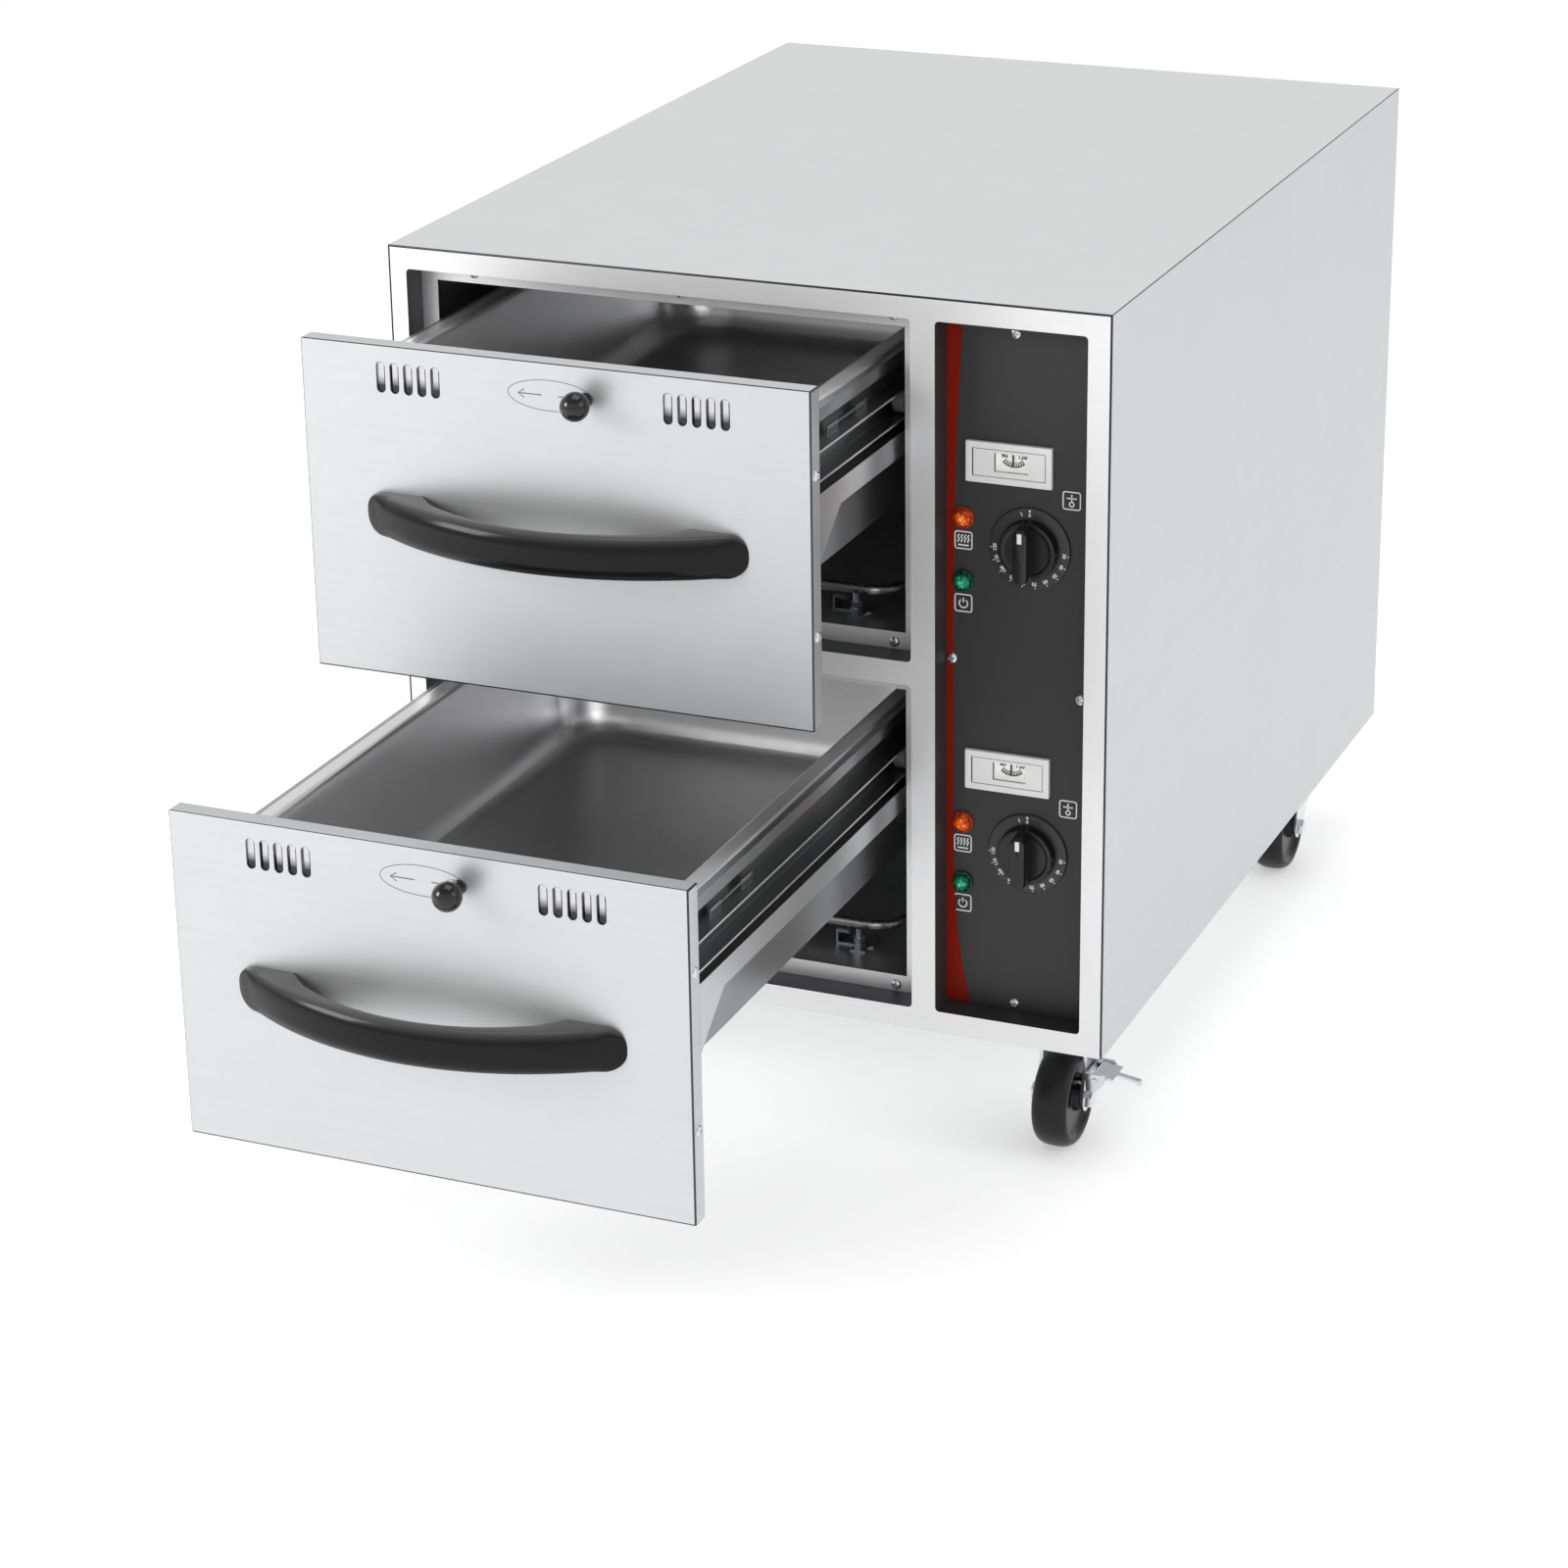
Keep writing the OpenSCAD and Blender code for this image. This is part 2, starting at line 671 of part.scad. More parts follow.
module dial_rings() color(black) for (i = [lower, upper]) at_dial(i)
    translate([0, -dial_t, 0]) difference() {
        rod_y(dial_d, dial_t);
        translate([0, -1, 0]) rod_y(dial_hole_d + 0.4, dial_t + 2);
    }

// Knob with skirt, grip bar and the shaft it is fixed to.
module knob(i) {
    base = -dial_t - 0.3;
    at_dial(i) {
        color(black) difference() {
            union() {
                translate([0, base - knob_skirt, 0]) rotate([-90, 0, 0])
                    cylinder(d1 = knob_d - 2, d2 = knob_d, h = knob_skirt);
                intersection() {
                    span([-knob_bar / 2, base - knob_h, -knob_d / 2],
                         [knob_bar / 2, base - knob_skirt + 1, knob_d / 2]);
                    translate([0, base - knob_h, 0]) rotate([-90, 0, 0])
                        cylinder(d1 = knob_d - 5, d2 = knob_d - 2, h = knob_h);
                }
            }
            translate([0, base - knob_h + 6, 0]) rod_y(shaft_d, knob_h);
        }
        color(zinc) translate([0, base - knob_h + 6, 0])
            rod_y(shaft_d, knob_h - 6 - base + panel_t + neck_l + thermostat_d / 2);
    }
}

module upper_knob() knob(upper);
module lower_knob() knob(lower);

module thermostats() color(zinc) for (i = [lower, upper]) at_dial(i) difference() {
    union() {
        rod_y(dial_hole_d, panel_t + neck_l + 1);
        translate([0, panel_t, 0]) rod_y(dial_hole_d + 6, 3);
        span([-thermostat_w / 2, panel_t + neck_l, -thermostat_w / 2],
             [thermostat_w / 2, panel_t + neck_l + thermostat_d, thermostat_w / 2]);
    }
    translate([0, -1, 0])
        rod_y(shaft_d + 2 * run_gap, panel_t + neck_l + thermostat_d / 2 + 2);
}

// Bulb on the bay's wall, two clips and the capillary tube from the thermostat.
module sensing_bulbs() color(zinc) for (i = [lower, upper]) from_front() {
    x = bay_x + bulb_side;
    z = tube_z(i);
    translate([x, bulb_y - 6, z]) rod_y(bulb_d, bulb_l);
    for (y = [bulb_y + 12, bulb_y + bulb_l - 24])
        span([x - bulb_d / 2 - 1, y, z - bulb_d / 2 - 1],
             [bay_x + wall_side, y + 6, z + bulb_d / 2 + 1]);
    translate([x, bulb_y, z]) rotate([0, 90, 0])
        cylinder(d = tube_d, h = control_left + dial_x - thermostat_w / 2 - x);
}

module terminal_block() color(ivory) from_front() {
    ways = 5;
    pitch = 14;
    translate([divider_x + sheet, cabinet_d - 170, control_z + 40]) difference() {
        cube([22, ways * pitch, 28]);
        for (k = [0:ways - 1]) translate([-1, (k + 0.5) * pitch, 14])
            translate([16, 0, 0]) rotate([0, 90, 0]) cylinder(d = 6, h = 10);
    }
}

module cable_gland() color(black) from_front()
    translate([control_x, cabinet_d, control_z + 60]) difference() {
        union() {
            rod_y(24, 6);
            translate([0, 6, 0]) rotate([-90, 0, 0])
                cylinder(d1 = 20, d2 = 14, h = gland_out - 6);
            translate([0, -sheet - 8, 0]) rod_y(gland_thread, sheet + 9);
            translate([0, -sheet - 5, 0]) rod_y(24, 5);
        }
        translate([0, -sheet - 9, 0]) rod_y(gland_bore, gland_out + sheet + 10);
    }

// ---- heating ----

// U-shaped element: two legs from the back wall joined by a front run.
module element(i) {
    z = opening_z(i) - liner_over + liner_t + rod_lift;
    straight = rod_half - rod_bend;
    translate([bay_x, 0, z]) {
        for (s = [-1, 1]) {
            translate([s * rod_half, rod_front + rod_bend, 0])
                rod_y(rod_d, liner_end + 20 - rod_front - rod_bend);
            translate([s * straight, rod_front + rod_bend, 0])
                rotate([0, 0, s > 0 ? -90 : 180])
                    rotate_extrude(angle = 90) translate([rod_bend, 0]) circle(d = rod_d);
        }
        translate([-straight, rod_front, 0]) rotate([0, 90, 0])
            cylinder(d = rod_d, h = 2 * straight);
    }
}

module heating_elements() color(dark_steel) from_front() for (i = [lower, upper]) element(i);

// Folded strips under the front run, each with a stud and two nuts.
module element_brackets() color(zinc) from_front()
    for (i = [lower, upper], s = [-1, 1])
        translate([bay_x + s * bracket_half, rod_front, opening_z(i) - liner_over + liner_t]) {
            top = rod_lift - rod_d / 2;
            half = bracket_w / 2;
            d = bracket_d / 2;
            t = bracket_t;
            span([-half, -d, 0], [half, d, t]);
            span([-half, -d, t], [t - half, d, top]);
            span([-half, -d, top - t], [-half / 3, d, top]);
            translate([half * 0.4, -d - 6, 0]) {
                cylinder(d = 5, h = stud_l);
                translate([0, 0, t + 0.1]) cylinder(d = 9, h = 4, $fn = 6);
                translate([0, 0, t + 5.5]) cylinder(d = 9, h = 4, $fn = 6);
            }
            span([0, -d - 10, 0], [half * 0.8, -d, t]);
        }

module cabinet_screws() color(zinc) from_front() {
    for (i = [lower, upper]) {
        for (x = liner_screw_xs)
            translate([bay_x + x, frame_depth, opening_z(i) + opening_h - screw_in]) screw_y(8);
        translate([bay_x + liner_screw_xs[2], frame_depth, opening_z(i) + screw_in]) screw_y(8);
    }
    for (s = control_screws)
        translate([control_left + s[0], panel_y, control_z + s[1]]) screw_y(8);
}

// ---- slides ----

// C-section on the bay's wall, with the front roller's pin at its front end.
module cabinet_rails() color(zinc) for (i = [lower, upper]) in_bay(i) both_sides() {
    translate([0, fixed_y, channel_z]) difference() {
        span([fixed_side, 0, -channel_h / 2 - rail_t], [wall_side, fixed_l, channel_h / 2 + rail_t]);
        span([fixed_side - 1, -1, -channel_h / 2],
             [wall_side - rail_t, fixed_l + 1, channel_h / 2]);
    }
    translate([front_roller_x - roller_w / 2 - 1, front_roller_y, channel_z])
        rotate([0, 90, 0]) {
            cylinder(d = roller_pin_d, h = wall_side - rail_t - front_roller_x + roller_w / 2 + 1);
            cylinder(d = roller_pin_d + 3, h = 1 - seam);
        }
    translate([front_roller_x + roller_w / 2 + seam, front_roller_y, channel_z])
        rotate([0, 90, 0])
            cylinder(d = roller_pin_d + 4,
                     h = wall_side - rail_t - front_roller_x - roller_w / 2 - seam);
}

// Roller with a crowned rim, axis along X.
module roller() rotate([0, 90, 0]) difference() {
    rotate_extrude() translate([0, -roller_w / 2]) polygon([
        [0, 0], [roller_d / 2 - 1, 0], [roller_d / 2, 1],
        [roller_d / 2, roller_w - 1], [roller_d / 2 - 1, roller_w], [0, roller_w]
    ]);
    cylinder(d = bore_d, h = roller_w + 2, center = true);
}

module front_rollers(i) color(ivory) in_bay(i) both_sides()
    translate([front_roller_x, front_roller_y, channel_z]) roller();

module rear_rollers(i) color(ivory) in_drawer(i) both_sides()
    translate([rear_roller_x, rear_roller_y, channel_z]) roller();

module upper_front_rollers() front_rollers(upper);
module lower_front_rollers() front_rollers(lower);
module upper_rear_rollers() rear_rollers(upper);
module lower_rear_rollers() rear_rollers(lower);

// Drawer slide: channel for the front roller, groove, box-section foot and gusset.
module drawer_rails(i) color(zinc) in_drawer(i) both_sides() {
    y0 = front_depth + 0.5;
    translate([0, y0, 0]) {
        upright(rail_l) slide_profile();
        translate([rail_side - rail_t, 0, rail_foot_z - rail_foot])
            rotate([90, 0, 90]) linear_extrude(rail_t) polygon([
                [0, 0], [gusset_l, 0], [gusset_l * 0.6, -gusset_h * 0.4],
                [gusset_l * 0.1, -gusset_h], [0, -gusset_h]
            ]);
        for (y = [60, 112])
            span([box_side + 5, y, -rail_drop - eps], [box_side + 5 + rail_t, y + 18, -rail_drop + 7]);
        translate([box_side + 5 + rail_t / 2, 64, -rail_drop + 5]) rod_y(latch_d, 62);
    }
    translate([box_side + rail_t - eps, rear_roller_y, channel_z]) rotate([0, 90, 0]) {
        cylinder(d = roller_pin_d, h = rear_roller_x + roller_w / 2 + 1 - box_side - rail_t);
        cylinder(d = roller_pin_d + 4,
                 h = rear_roller_x - roller_w / 2 - seam - box_side - rail_t);
    }
    translate([rear_roller_x + roller_w / 2 + seam, rear_roller_y, channel_z])
        rotate([0, 90, 0]) cylinder(d = roller_pin_d + 3, h = 1 - seam);
}

module slide_profile() {
    t = rail_t;
    top = -rail_drop;
    mid = top - t - channel_h;
    foot = rail_foot_z;
    translate([box_side, foot - rail_foot]) square([t, rail_foot - foot - rail_drop]);
    translate([box_side, top - t]) square([rail_out, t]);
    translate([box_side, mid - t]) square([rail_out, t]);
    translate([box_side, foot - t]) square([rail_out, t]);
    translate([rail_side - t, foot - rail_foot]) square([t, rail_foot]);
}

module upper_rails() drawer_rails(upper);
module lower_rails() drawer_rails(lower);

// ---- drawers ----

// Vent slots of one row, cut or shown as outlines about the slots' middle.
module slot_row()
    for (s = [-1, 1], k = [0:slots - 1])
        translate([s * slot_group_x + (k - (slots - 1) / 2) * slot_pitch, 0])
            obround(slot_w, slot_h);

module front_panel(i) color(steel) in_drawer(i) difference() {
    w = front_w / 2;
    union() {
        difference() {
            span([-w, 0, -front_h], [w, front_depth, 0]);
            span([-w + sheet, sheet, -front_h + sheet], [w - sheet, front_depth - sheet, -sheet]);
            span([-w + hem, sheet, -front_h + hem], [w - hem, front_depth + 1, -hem]);
        }
        for (z = [-slot_drop + shutter_h / 2 + guide_gap,
                  -slot_drop - shutter_h / 2 - guide_gap - guide_w])
            span([-shutter_w / 2, sheet - eps, z], [shutter_w / 2, sheet + shutter_t + 1, z + guide_w]);
        for (x = [-shutter_w / 3, 0, shutter_w / 3])
            span([x - 6, sheet + shutter_t + 0.7, -slot_drop - shutter_h / 2 - guide_gap - guide_w],
                 [x + 6, sheet + shutter_t + 2, -slot_drop + shutter_h / 2 + guide_gap + guide_w]);
    }
    translate([0, -1, -slot_drop]) upright(sheet + 1 + eps) slot_row();
    translate([ball_x - shutter_travel / 2, -1, -slot_drop]) upright(sheet + 1 + eps)
        rotate(90) obround(stud_d + 1, stud_d + 1 + shutter_travel + 1);
    for (s = [-1, 1], d = side_screw_drops)
        translate([s * w, front_depth / 2, -d]) rotate([0, 90, 0])
            cylinder(d = screw_d + 0.2, h = 4 * sheet, center = true);
    for (s = [-1, 1])
        translate([s * handle_screw_x, -1, handle_z]) rod_y(screw_d + 1.2, sheet + 2);
}

module upper_front_panel() front_panel(upper);
module lower_front_panel() front_panel(lower);

// Cover that closes the front's hollow from behind.
module inner_panel(i) color(inner_steel) in_drawer(i) difference() {
    w = front_w / 2 - sheet - seam;
    y1 = front_depth - sheet - seam;
    h0 = -front_h + sheet + seam;
    h1 = -sheet - seam;
    union() {
        difference() {
            span([-w, sheet + shutter_t + 2.5, h0], [w, y1, h1]);
            span([-w + box_t, sheet, h0 + box_t], [w - box_t, y1 - box_t, h1 - box_t]);
        }
        span([-front_w / 2 + hem + seam, y1 - eps, -front_h + hem + seam],
             [front_w / 2 - hem - seam, front_depth + 0.5, -hem - seam]);
    }
    for (s = [-1, 1], d = side_screw_drops)
        translate([s * w, front_depth / 2, -d]) rotate([0, 90, 0])
            cylinder(d = screw_d + 0.2, h = 4 * sheet, center = true);
}

module upper_inner_panel() inner_panel(upper);
module lower_inner_panel() inner_panel(lower);

module shutter(i) color(dark_steel) in_drawer(i)
    translate([0, shutter_y, -slot_drop]) difference() {
        span([-shutter_w / 2 + 4, 0, -shutter_h / 2], [shutter_w / 2 - 4, shutter_t, shutter_h / 2]);
        translate([shutter_travel, -1, 0]) upright(shutter_t + 2) slot_row();
    }

module upper_shutter() shutter(upper);
module lower_shutter() shutter(lower);

// Ball and neck turned in one piece.
module shutter_knob(i) color(black) in_drawer(i)
    translate([ball_x, shutter_y, -slot_drop]) rotate([90, 0, 0]) rotate_extrude() {
        reach = ball_reach + shutter_y;
        square([stud_d / 2, reach]);
        translate([0, sheet + 0.5]) square([stud_d / 2 + 1.5, 2]);
        intersection() {
            translate([0, reach]) circle(d = ball_d);
            translate([0, reach - ball_d / 2]) square([ball_d / 2, ball_d]);
        }
    }

module upper_shutter_knob() shutter_knob(upper);
module lower_shutter_knob() shutter_knob(lower);

// Bowed grip: an arc with rounded edges, two feet behind it and a pill-shaped front view.
module handle(i) color(black) in_drawer(i) translate([0, 0, handle_z]) difference() {
    half = handle_h / 2;
    sweep = 2 * asin(handle_w / 2 / handle_r);
    intersection() {
        union() {
            translate([0, handle_arc_y, 0]) rotate([0, 0, -90 - sweep / 2])
                rotate_extrude(angle = sweep, $fn = 128)
                    translate([handle_r - handle_t, -half])
                        round_rect(handle_t, handle_h, handle_edge);
            translate([0, 0, -half + 1]) linear_extrude(handle_h - 2) difference() {
                intersection() {
                    translate([0, handle_arc_y]) circle(handle_r - handle_t / 2, $fn = 128);
                    translate([-handle_w / 2, -handle_reach]) square([handle_w, handle_reach]);
                }
                handle_gap();
            }
        }
        translate([-handle_w / 2, -handle_reach - 1, -half]) upright(handle_reach + 1)
            round_rect(handle_w, handle_h, half - 1);
    }
    for (s = [-1, 1])
        translate([s * handle_screw_x, -handle_screw_l - 2, 0])
            rod_y(screw_d + 1.2, handle_screw_l + 3);
}

// Finger space behind the grip, in plan.
module handle_gap() {
    half = handle_w / 2 - handle_foot;
    back = handle_reach - handle_t;
    r = (half * half + back * back) / (2 * back);
    translate([0, r - back]) circle(r, $fn = 128);
    translate([-half, 0]) square([2 * half, 1]);
}

module upper_handle() handle(upper);
module lower_handle() handle(lower);

module drawer_screws(i) color(zinc) in_drawer(i) {
    for (s = [-1, 1], d = side_screw_drops)
        translate([s * front_w / 2, front_depth / 2, -d]) rotate([0, 0, s * 90]) screw_y(6);
    for (s = [-1, 1])
        translate([s * handle_screw_x, sheet, handle_z]) rotate([0, 0, 180])
            screw_y(handle_screw_l - 1);
}

module upper_screws() drawer_screws(upper);
module lower_screws() drawer_screws(lower);

// Open box with a flat rim and warm-air holes in its floor.
module drawer_box(i) color(inner_steel) in_drawer(i) translate([0, box_mid_y, -rim_drop]) {
    hw = box_out_w / 2;
    hl = box_out_l / 2;
    holes = [-2:2];
    difference() {
        union() {
            span([-hw, -hl, -box_depth], [hw, hl, 0]);
            span([-hw - rim_w, -hl - rim_w, -box_t], [hw + rim_w, hl + rim_w, 0]);
        }
        span([-hw + box_t, -hl + box_t, -box_depth + box_t], [hw - box_t, hl - box_t, 1]);
        for (x = holes, y = holes)
            translate([x * 55, y * 95, -box_depth - 1]) cylinder(d = 22, h = box_t + 2);
    }
    for (s = [-1, 1])
        span([min(s * (hw + rim_w - box_t), s * (hw + rim_w)), -hl - rim_w, -9],
             [max(s * (hw + rim_w - box_t), s * (hw + rim_w)), hl + rim_w, -eps]);
}

module upper_box() drawer_box(upper);
module lower_box() drawer_box(lower);

// Tapered solid with round corners: l by w at the top, drawn in by d each way below.
module pan_form(l, w, r, h, d) mirror([0, 0, 1])
    linear_extrude(h, scale = [(w - 2 * d) / w, (l - 2 * d) / l], slices = 1)
        translate([-w / 2, -l / 2]) round_rect(w, l, r);

module food_pan(i) color(steel) in_drawer(i) translate([0, box_mid_y, -rim_drop + pan_t]) {
    l = pan_l - 2 * pan_rim;
    w = pan_w - 2 * pan_rim;
    deep = pan_depth - pan_floor_r;
    draw = pan_taper * deep / pan_depth;
    difference() {
        union() {
            translate([-pan_w / 2, -pan_l / 2, -pan_t]) linear_extrude(pan_t)
                round_rect(pan_w, pan_l, 12);
            pan_form(l, w, pan_r, deep, draw);
            translate([0, 0, -deep])
                pan_form(l - 2 * draw, w - 2 * draw, pan_r - draw, pan_floor_r, pan_floor_r);
        }
        translate([0, 0, eps])
            pan_form(l - 2 * pan_t, w - 2 * pan_t, pan_r - pan_t, deep + eps, draw);
        translate([0, 0, -deep])
            pan_form(l - 2 * draw - 2 * pan_t, w - 2 * draw - 2 * pan_t, pan_r - draw - pan_t,
                     pan_floor_r - pan_t, pan_floor_r);
    }
}

module upper_pan() food_pan(upper);
module lower_pan() food_pan(lower);

// ---- casters ----

// Plate, bearing race, king pin and bolts of every caster.
module caster_plates() color(zinc) for (s = [-1, 1], rear = [false, true]) at_caster(s, rear) {
    plate_z = caster_h - plate_t;
    difference() {
        union() {
            translate([-plate_w / 2, -plate_l / 2, plate_z]) cube([plate_w, plate_l, plate_t]);
            translate([0, 0, fork_top + seam])
                cylinder(d1 = race_d - 8, d2 = race_d, h = plate_z - fork_top - seam);
            translate([0, 0, fork_top - fork_t - 1]) cylinder(d = kingpin_d, h = 4);
            translate([0, 0, fork_top - fork_t - 3 - seam]) cylinder(d = kingpin_d + 5, h = 3);
        }
        translate([0, 0, plate_z - 1]) caster_bolts(screw_d + 2, plate_t + 2);
    }
    translate([0, 0, plate_z - 3]) caster_bolts(screw_d + 1.8, bolt_top - plate_z + 3);
    translate([0, 0, plate_z - 3]) caster_bolts(screw_head_d + 1, 3);
    translate([0, 0, caster_h + sheet]) caster_bolts(nut_d, nut_h);
}

// Fork leg in side view: broad at the crown, drawn down to the axle.
module fork_side() difference() {
    hull() {
        translate([-caster_trail, wheel_d / 2]) circle(9);
        translate([-25, fork_top - 8]) square([48, 8]);
    }
    translate([-caster_trail, wheel_d / 2]) circle(d = axle_d + 0.2);
}

module fork(side, rear) at_caster(side, rear) {
    braked = !rear;
    color(zinc) {
        for (s = [-1, 1]) difference() {
            translate([s > 0 ? fork_in : -fork_out, 0, 0])
                rotate([90, 0, 90]) linear_extrude(fork_t) fork_side();
            if (braked && s == side)
                span([min(s * (fork_in - 1), s * (fork_out + 1)), tongue_y[0] - 0.5, tongue_z[0] - 3],
                     [max(s * (fork_in - 1), s * (fork_out + 1)), tongue_y[1] + 0.5, tongue_z[1] + 1.5]);
        }
        difference() {
            span([-fork_in - eps, -25, fork_top - fork_t], [fork_in + eps, 23, fork_top]);
            translate([0, 0, fork_top - fork_t - 1])
                cylinder(d = kingpin_d + 2 * run_gap, h = fork_t + 2);
        }
        if (braked) mirror([side < 0 ? 1 : 0, 0, 0]) pedal_ears();
    }
    color(steel) translate([0, -caster_trail, wheel_d / 2]) rotate([0, 90, 0]) {
        cylinder(d = axle_d, h = 2 * fork_out + 8, center = true);
        for (s = [0, 180]) rotate([s, 0, 0])
            translate([0, 0, fork_out]) cylinder(d = 14, h = 5, $fn = 6);
    }
}

// Two ears outside the fork that hold the pedal's pin.
module pedal_ears() translate([0, hinge_y, 0]) {
    reach = hinge_x + 8 - fork_out;
    for (s = [-1, 1])
        translate([fork_out - eps, s * (pedal_w / 2 + 1.5) - 1, hinge_z]) upright(2)
            polygon([[0, -9], [8, -9], [reach, -1], [reach, 3], [reach - 2, 5], [0, 5]]);
    translate([hinge_x, -pedal_w / 2 - 4, hinge_z]) rod_y(hinge_pin_d, pedal_w + 8);
}

module front_left_fork() fork(-1, false);
module front_right_fork() fork(1, false);
module rear_left_fork() fork(-1, true);
module rear_right_fork() fork(1, true);

// Wheel with rounded tread, dished sides and a hub boss.
module wheel(side, rear) color(black) at_caster(side, rear)
    translate([0, -caster_trail, wheel_d / 2]) rotate([0, 90, 0]) difference() {
        rotate_extrude($fn = 96) {
            r = wheel_d / 2;
            w = wheel_w / 2;
            polygon([[0, -w - 1.5], [9, -w - 1.5], [10, -web_x], [r - 12, -web_x],
                     [r - 9, -w + 0.5], [r - 5, -w], [r - 5, w], [r - 9, w - 0.5],
                     [r - 12, web_x], [10, web_x], [9, w + 1.5], [0, w + 1.5]]);
            translate([r - 6, 0]) intersection() {
                square([12, 2 * w], center = true);
                translate([6 - tread_r, 0]) circle(tread_r, $fn = 96);
            }
            for (s = [-1, 1]) translate([r - 5.5, s * (w - 4)]) circle(4);
        }
        cylinder(d = axle_d + 2 * run_gap, h = 2 * wheel_w, center = true);
    }

tread_r = 18;           // crown radius of the tread

module front_left_wheel() wheel(-1, false);
module front_right_wheel() wheel(1, false);
module rear_left_wheel() wheel(-1, true);
module rear_right_wheel() wheel(1, true);

// Pedal with a rolled barrel round its pin and a tongue that presses on the wheel's web.
module brake_lever(side) color(zinc) at_caster(side, false)
    mirror([side < 0 ? 1 : 0, 0, 0]) difference() {
        union() {
            translate([hinge_x, hinge_y, hinge_z]) {
                translate([0, -pedal_w / 2, 0]) rod_y(hinge_d, pedal_w);
                rotate([0, pedal_drop, 0]) {
                    span([0, -pedal_w / 2, hinge_d / 2 - pedal_t],
                         [pedal_neck, pedal_w / 2, hinge_d / 2]);
                    span([pedal_neck - eps, -pedal_tip_w / 2, hinge_d / 2 - pedal_t],
                         [pedal_l, pedal_tip_w / 2, hinge_d / 2]);
                    translate([pedal_l, -pedal_tip_w / 2, hinge_d / 2 - pedal_t])
                        rod_y(2 * pedal_t, pedal_tip_w);
                }
            }
            span([hinge_x - hinge_d / 2, tongue_y[0], tongue_z[0]],
                 [hinge_x, tongue_y[1], hinge_z]);
            span([web_x + seam, tongue_y[0], tongue_z[0]],
                 [hinge_x - hinge_d / 2 + eps, tongue_y[1], tongue_z[1]]);
        }
        translate([hinge_x, hinge_y - pedal_w / 2 - 1, hinge_z])
            rod_y(hinge_pin_d + 2 * run_gap, pedal_w + 2);
    }

module left_brake_lever() brake_lever(-1);
module right_brake_lever() brake_lever(1);

outer_casing();
front_frame();
back_panel();
base_pan();
upper_liner();
lower_liner();
divider_wall();
insulation();
control_panel();
panel_stripe();
thermometer_cases();
thermometer_windows();
upper_needle();
lower_needle();
heat_lamps();
power_lamps();
dial_rings();
upper_knob();
lower_knob();
thermostats();
sensing_bulbs();
terminal_block();
cable_gland();
heating_elements();
element_brackets();
cabinet_screws();
cabinet_rails();
upper_front_rollers();
lower_front_rollers();
upper_front_panel();
upper_inner_panel();
upper_shutter();
upper_shutter_knob();
upper_handle();
upper_box();
upper_rails();
upper_rear_rollers();
upper_screws();
upper_pan();
lower_front_panel();
lower_inner_panel();
lower_shutter();
lower_shutter_knob();
lower_handle();
lower_box();
lower_rails();
lower_rear_rollers();
lower_screws();
lower_pan();
caster_plates();
front_left_fork();
front_right_fork();
rear_left_fork();
rear_right_fork();
front_left_wheel();
front_right_wheel();
rear_left_wheel();
rear_right_wheel();
left_brake_lever();
right_brake_lever();
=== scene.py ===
"""Looks of a two-drawer warming cabinet on casters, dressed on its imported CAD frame."""

import json
import math

import bmesh
import bpy
import numpy as np
from mathutils import Matrix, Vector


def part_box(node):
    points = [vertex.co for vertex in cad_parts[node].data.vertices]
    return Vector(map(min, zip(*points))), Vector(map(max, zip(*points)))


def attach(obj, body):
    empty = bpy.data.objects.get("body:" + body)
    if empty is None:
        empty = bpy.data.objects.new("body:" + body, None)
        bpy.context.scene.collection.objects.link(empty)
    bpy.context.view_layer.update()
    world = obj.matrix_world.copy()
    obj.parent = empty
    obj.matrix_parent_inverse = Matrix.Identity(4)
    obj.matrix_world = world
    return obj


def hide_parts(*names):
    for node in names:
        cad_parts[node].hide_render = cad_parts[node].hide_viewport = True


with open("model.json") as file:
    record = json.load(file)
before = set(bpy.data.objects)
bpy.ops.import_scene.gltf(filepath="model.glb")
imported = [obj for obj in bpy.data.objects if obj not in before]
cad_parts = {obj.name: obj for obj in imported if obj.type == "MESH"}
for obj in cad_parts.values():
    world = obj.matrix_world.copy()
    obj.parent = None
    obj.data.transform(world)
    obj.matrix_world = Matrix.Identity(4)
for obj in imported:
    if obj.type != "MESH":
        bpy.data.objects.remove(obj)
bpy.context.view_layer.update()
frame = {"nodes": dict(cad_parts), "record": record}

MM = 0.001
DOUBLES, TOUCH = 2e-6, 2e-5  # points this close are one point, or lie on a box's side
FRONT, RIGHT, UP = (0, -1, 0), (1, 0, 0), (0, 0, 1)
LEVELS = ("lower", "upper")
SIDES = ("left", "right")
BODY_OF = {n: b for b, ns in frame["record"]["behaviour"]["bodies"].items() for n in ns}

# Places on a drawer's front, in millimetres below its top edge and right of its middle.
VENT_DROP, SLOT_TALL, HANDLE_DROP, BALL_X = 22.0, 21.0, 117.5, 26.0
HANDLE_SCREW_X, SIDE_SCREW_X, SIDE_SCREW_DROPS = 117, 186, (59, 170)

# Places on the liners' flanges, in millimetres right of the drawers' middle, and on the
# control panel, right of and above its lower left corner.
FLANGE_SCREWS_ABOVE, FLANGE_SCREW_BELOW = (-149, 11, 170), 170
PANEL_SCREWS = ((50, 502), (52, 5), (4.2, 263), (99, 244))

# Places on the control panel, in millimetres right of and above a dial's centre.
LAMP_X = -48.8
LAMP_Z = {"heat": 17, "power": -29}
LAMP_RADIUS = 7.75
ICONS = ((-49.0, 0.2), (-49.0, -45.8), (29.5, 37.5))
THERMOMETER_X, THERMOMETER_Z = -15.2, 59


# ---------------------------------------------------------------- objects and their data


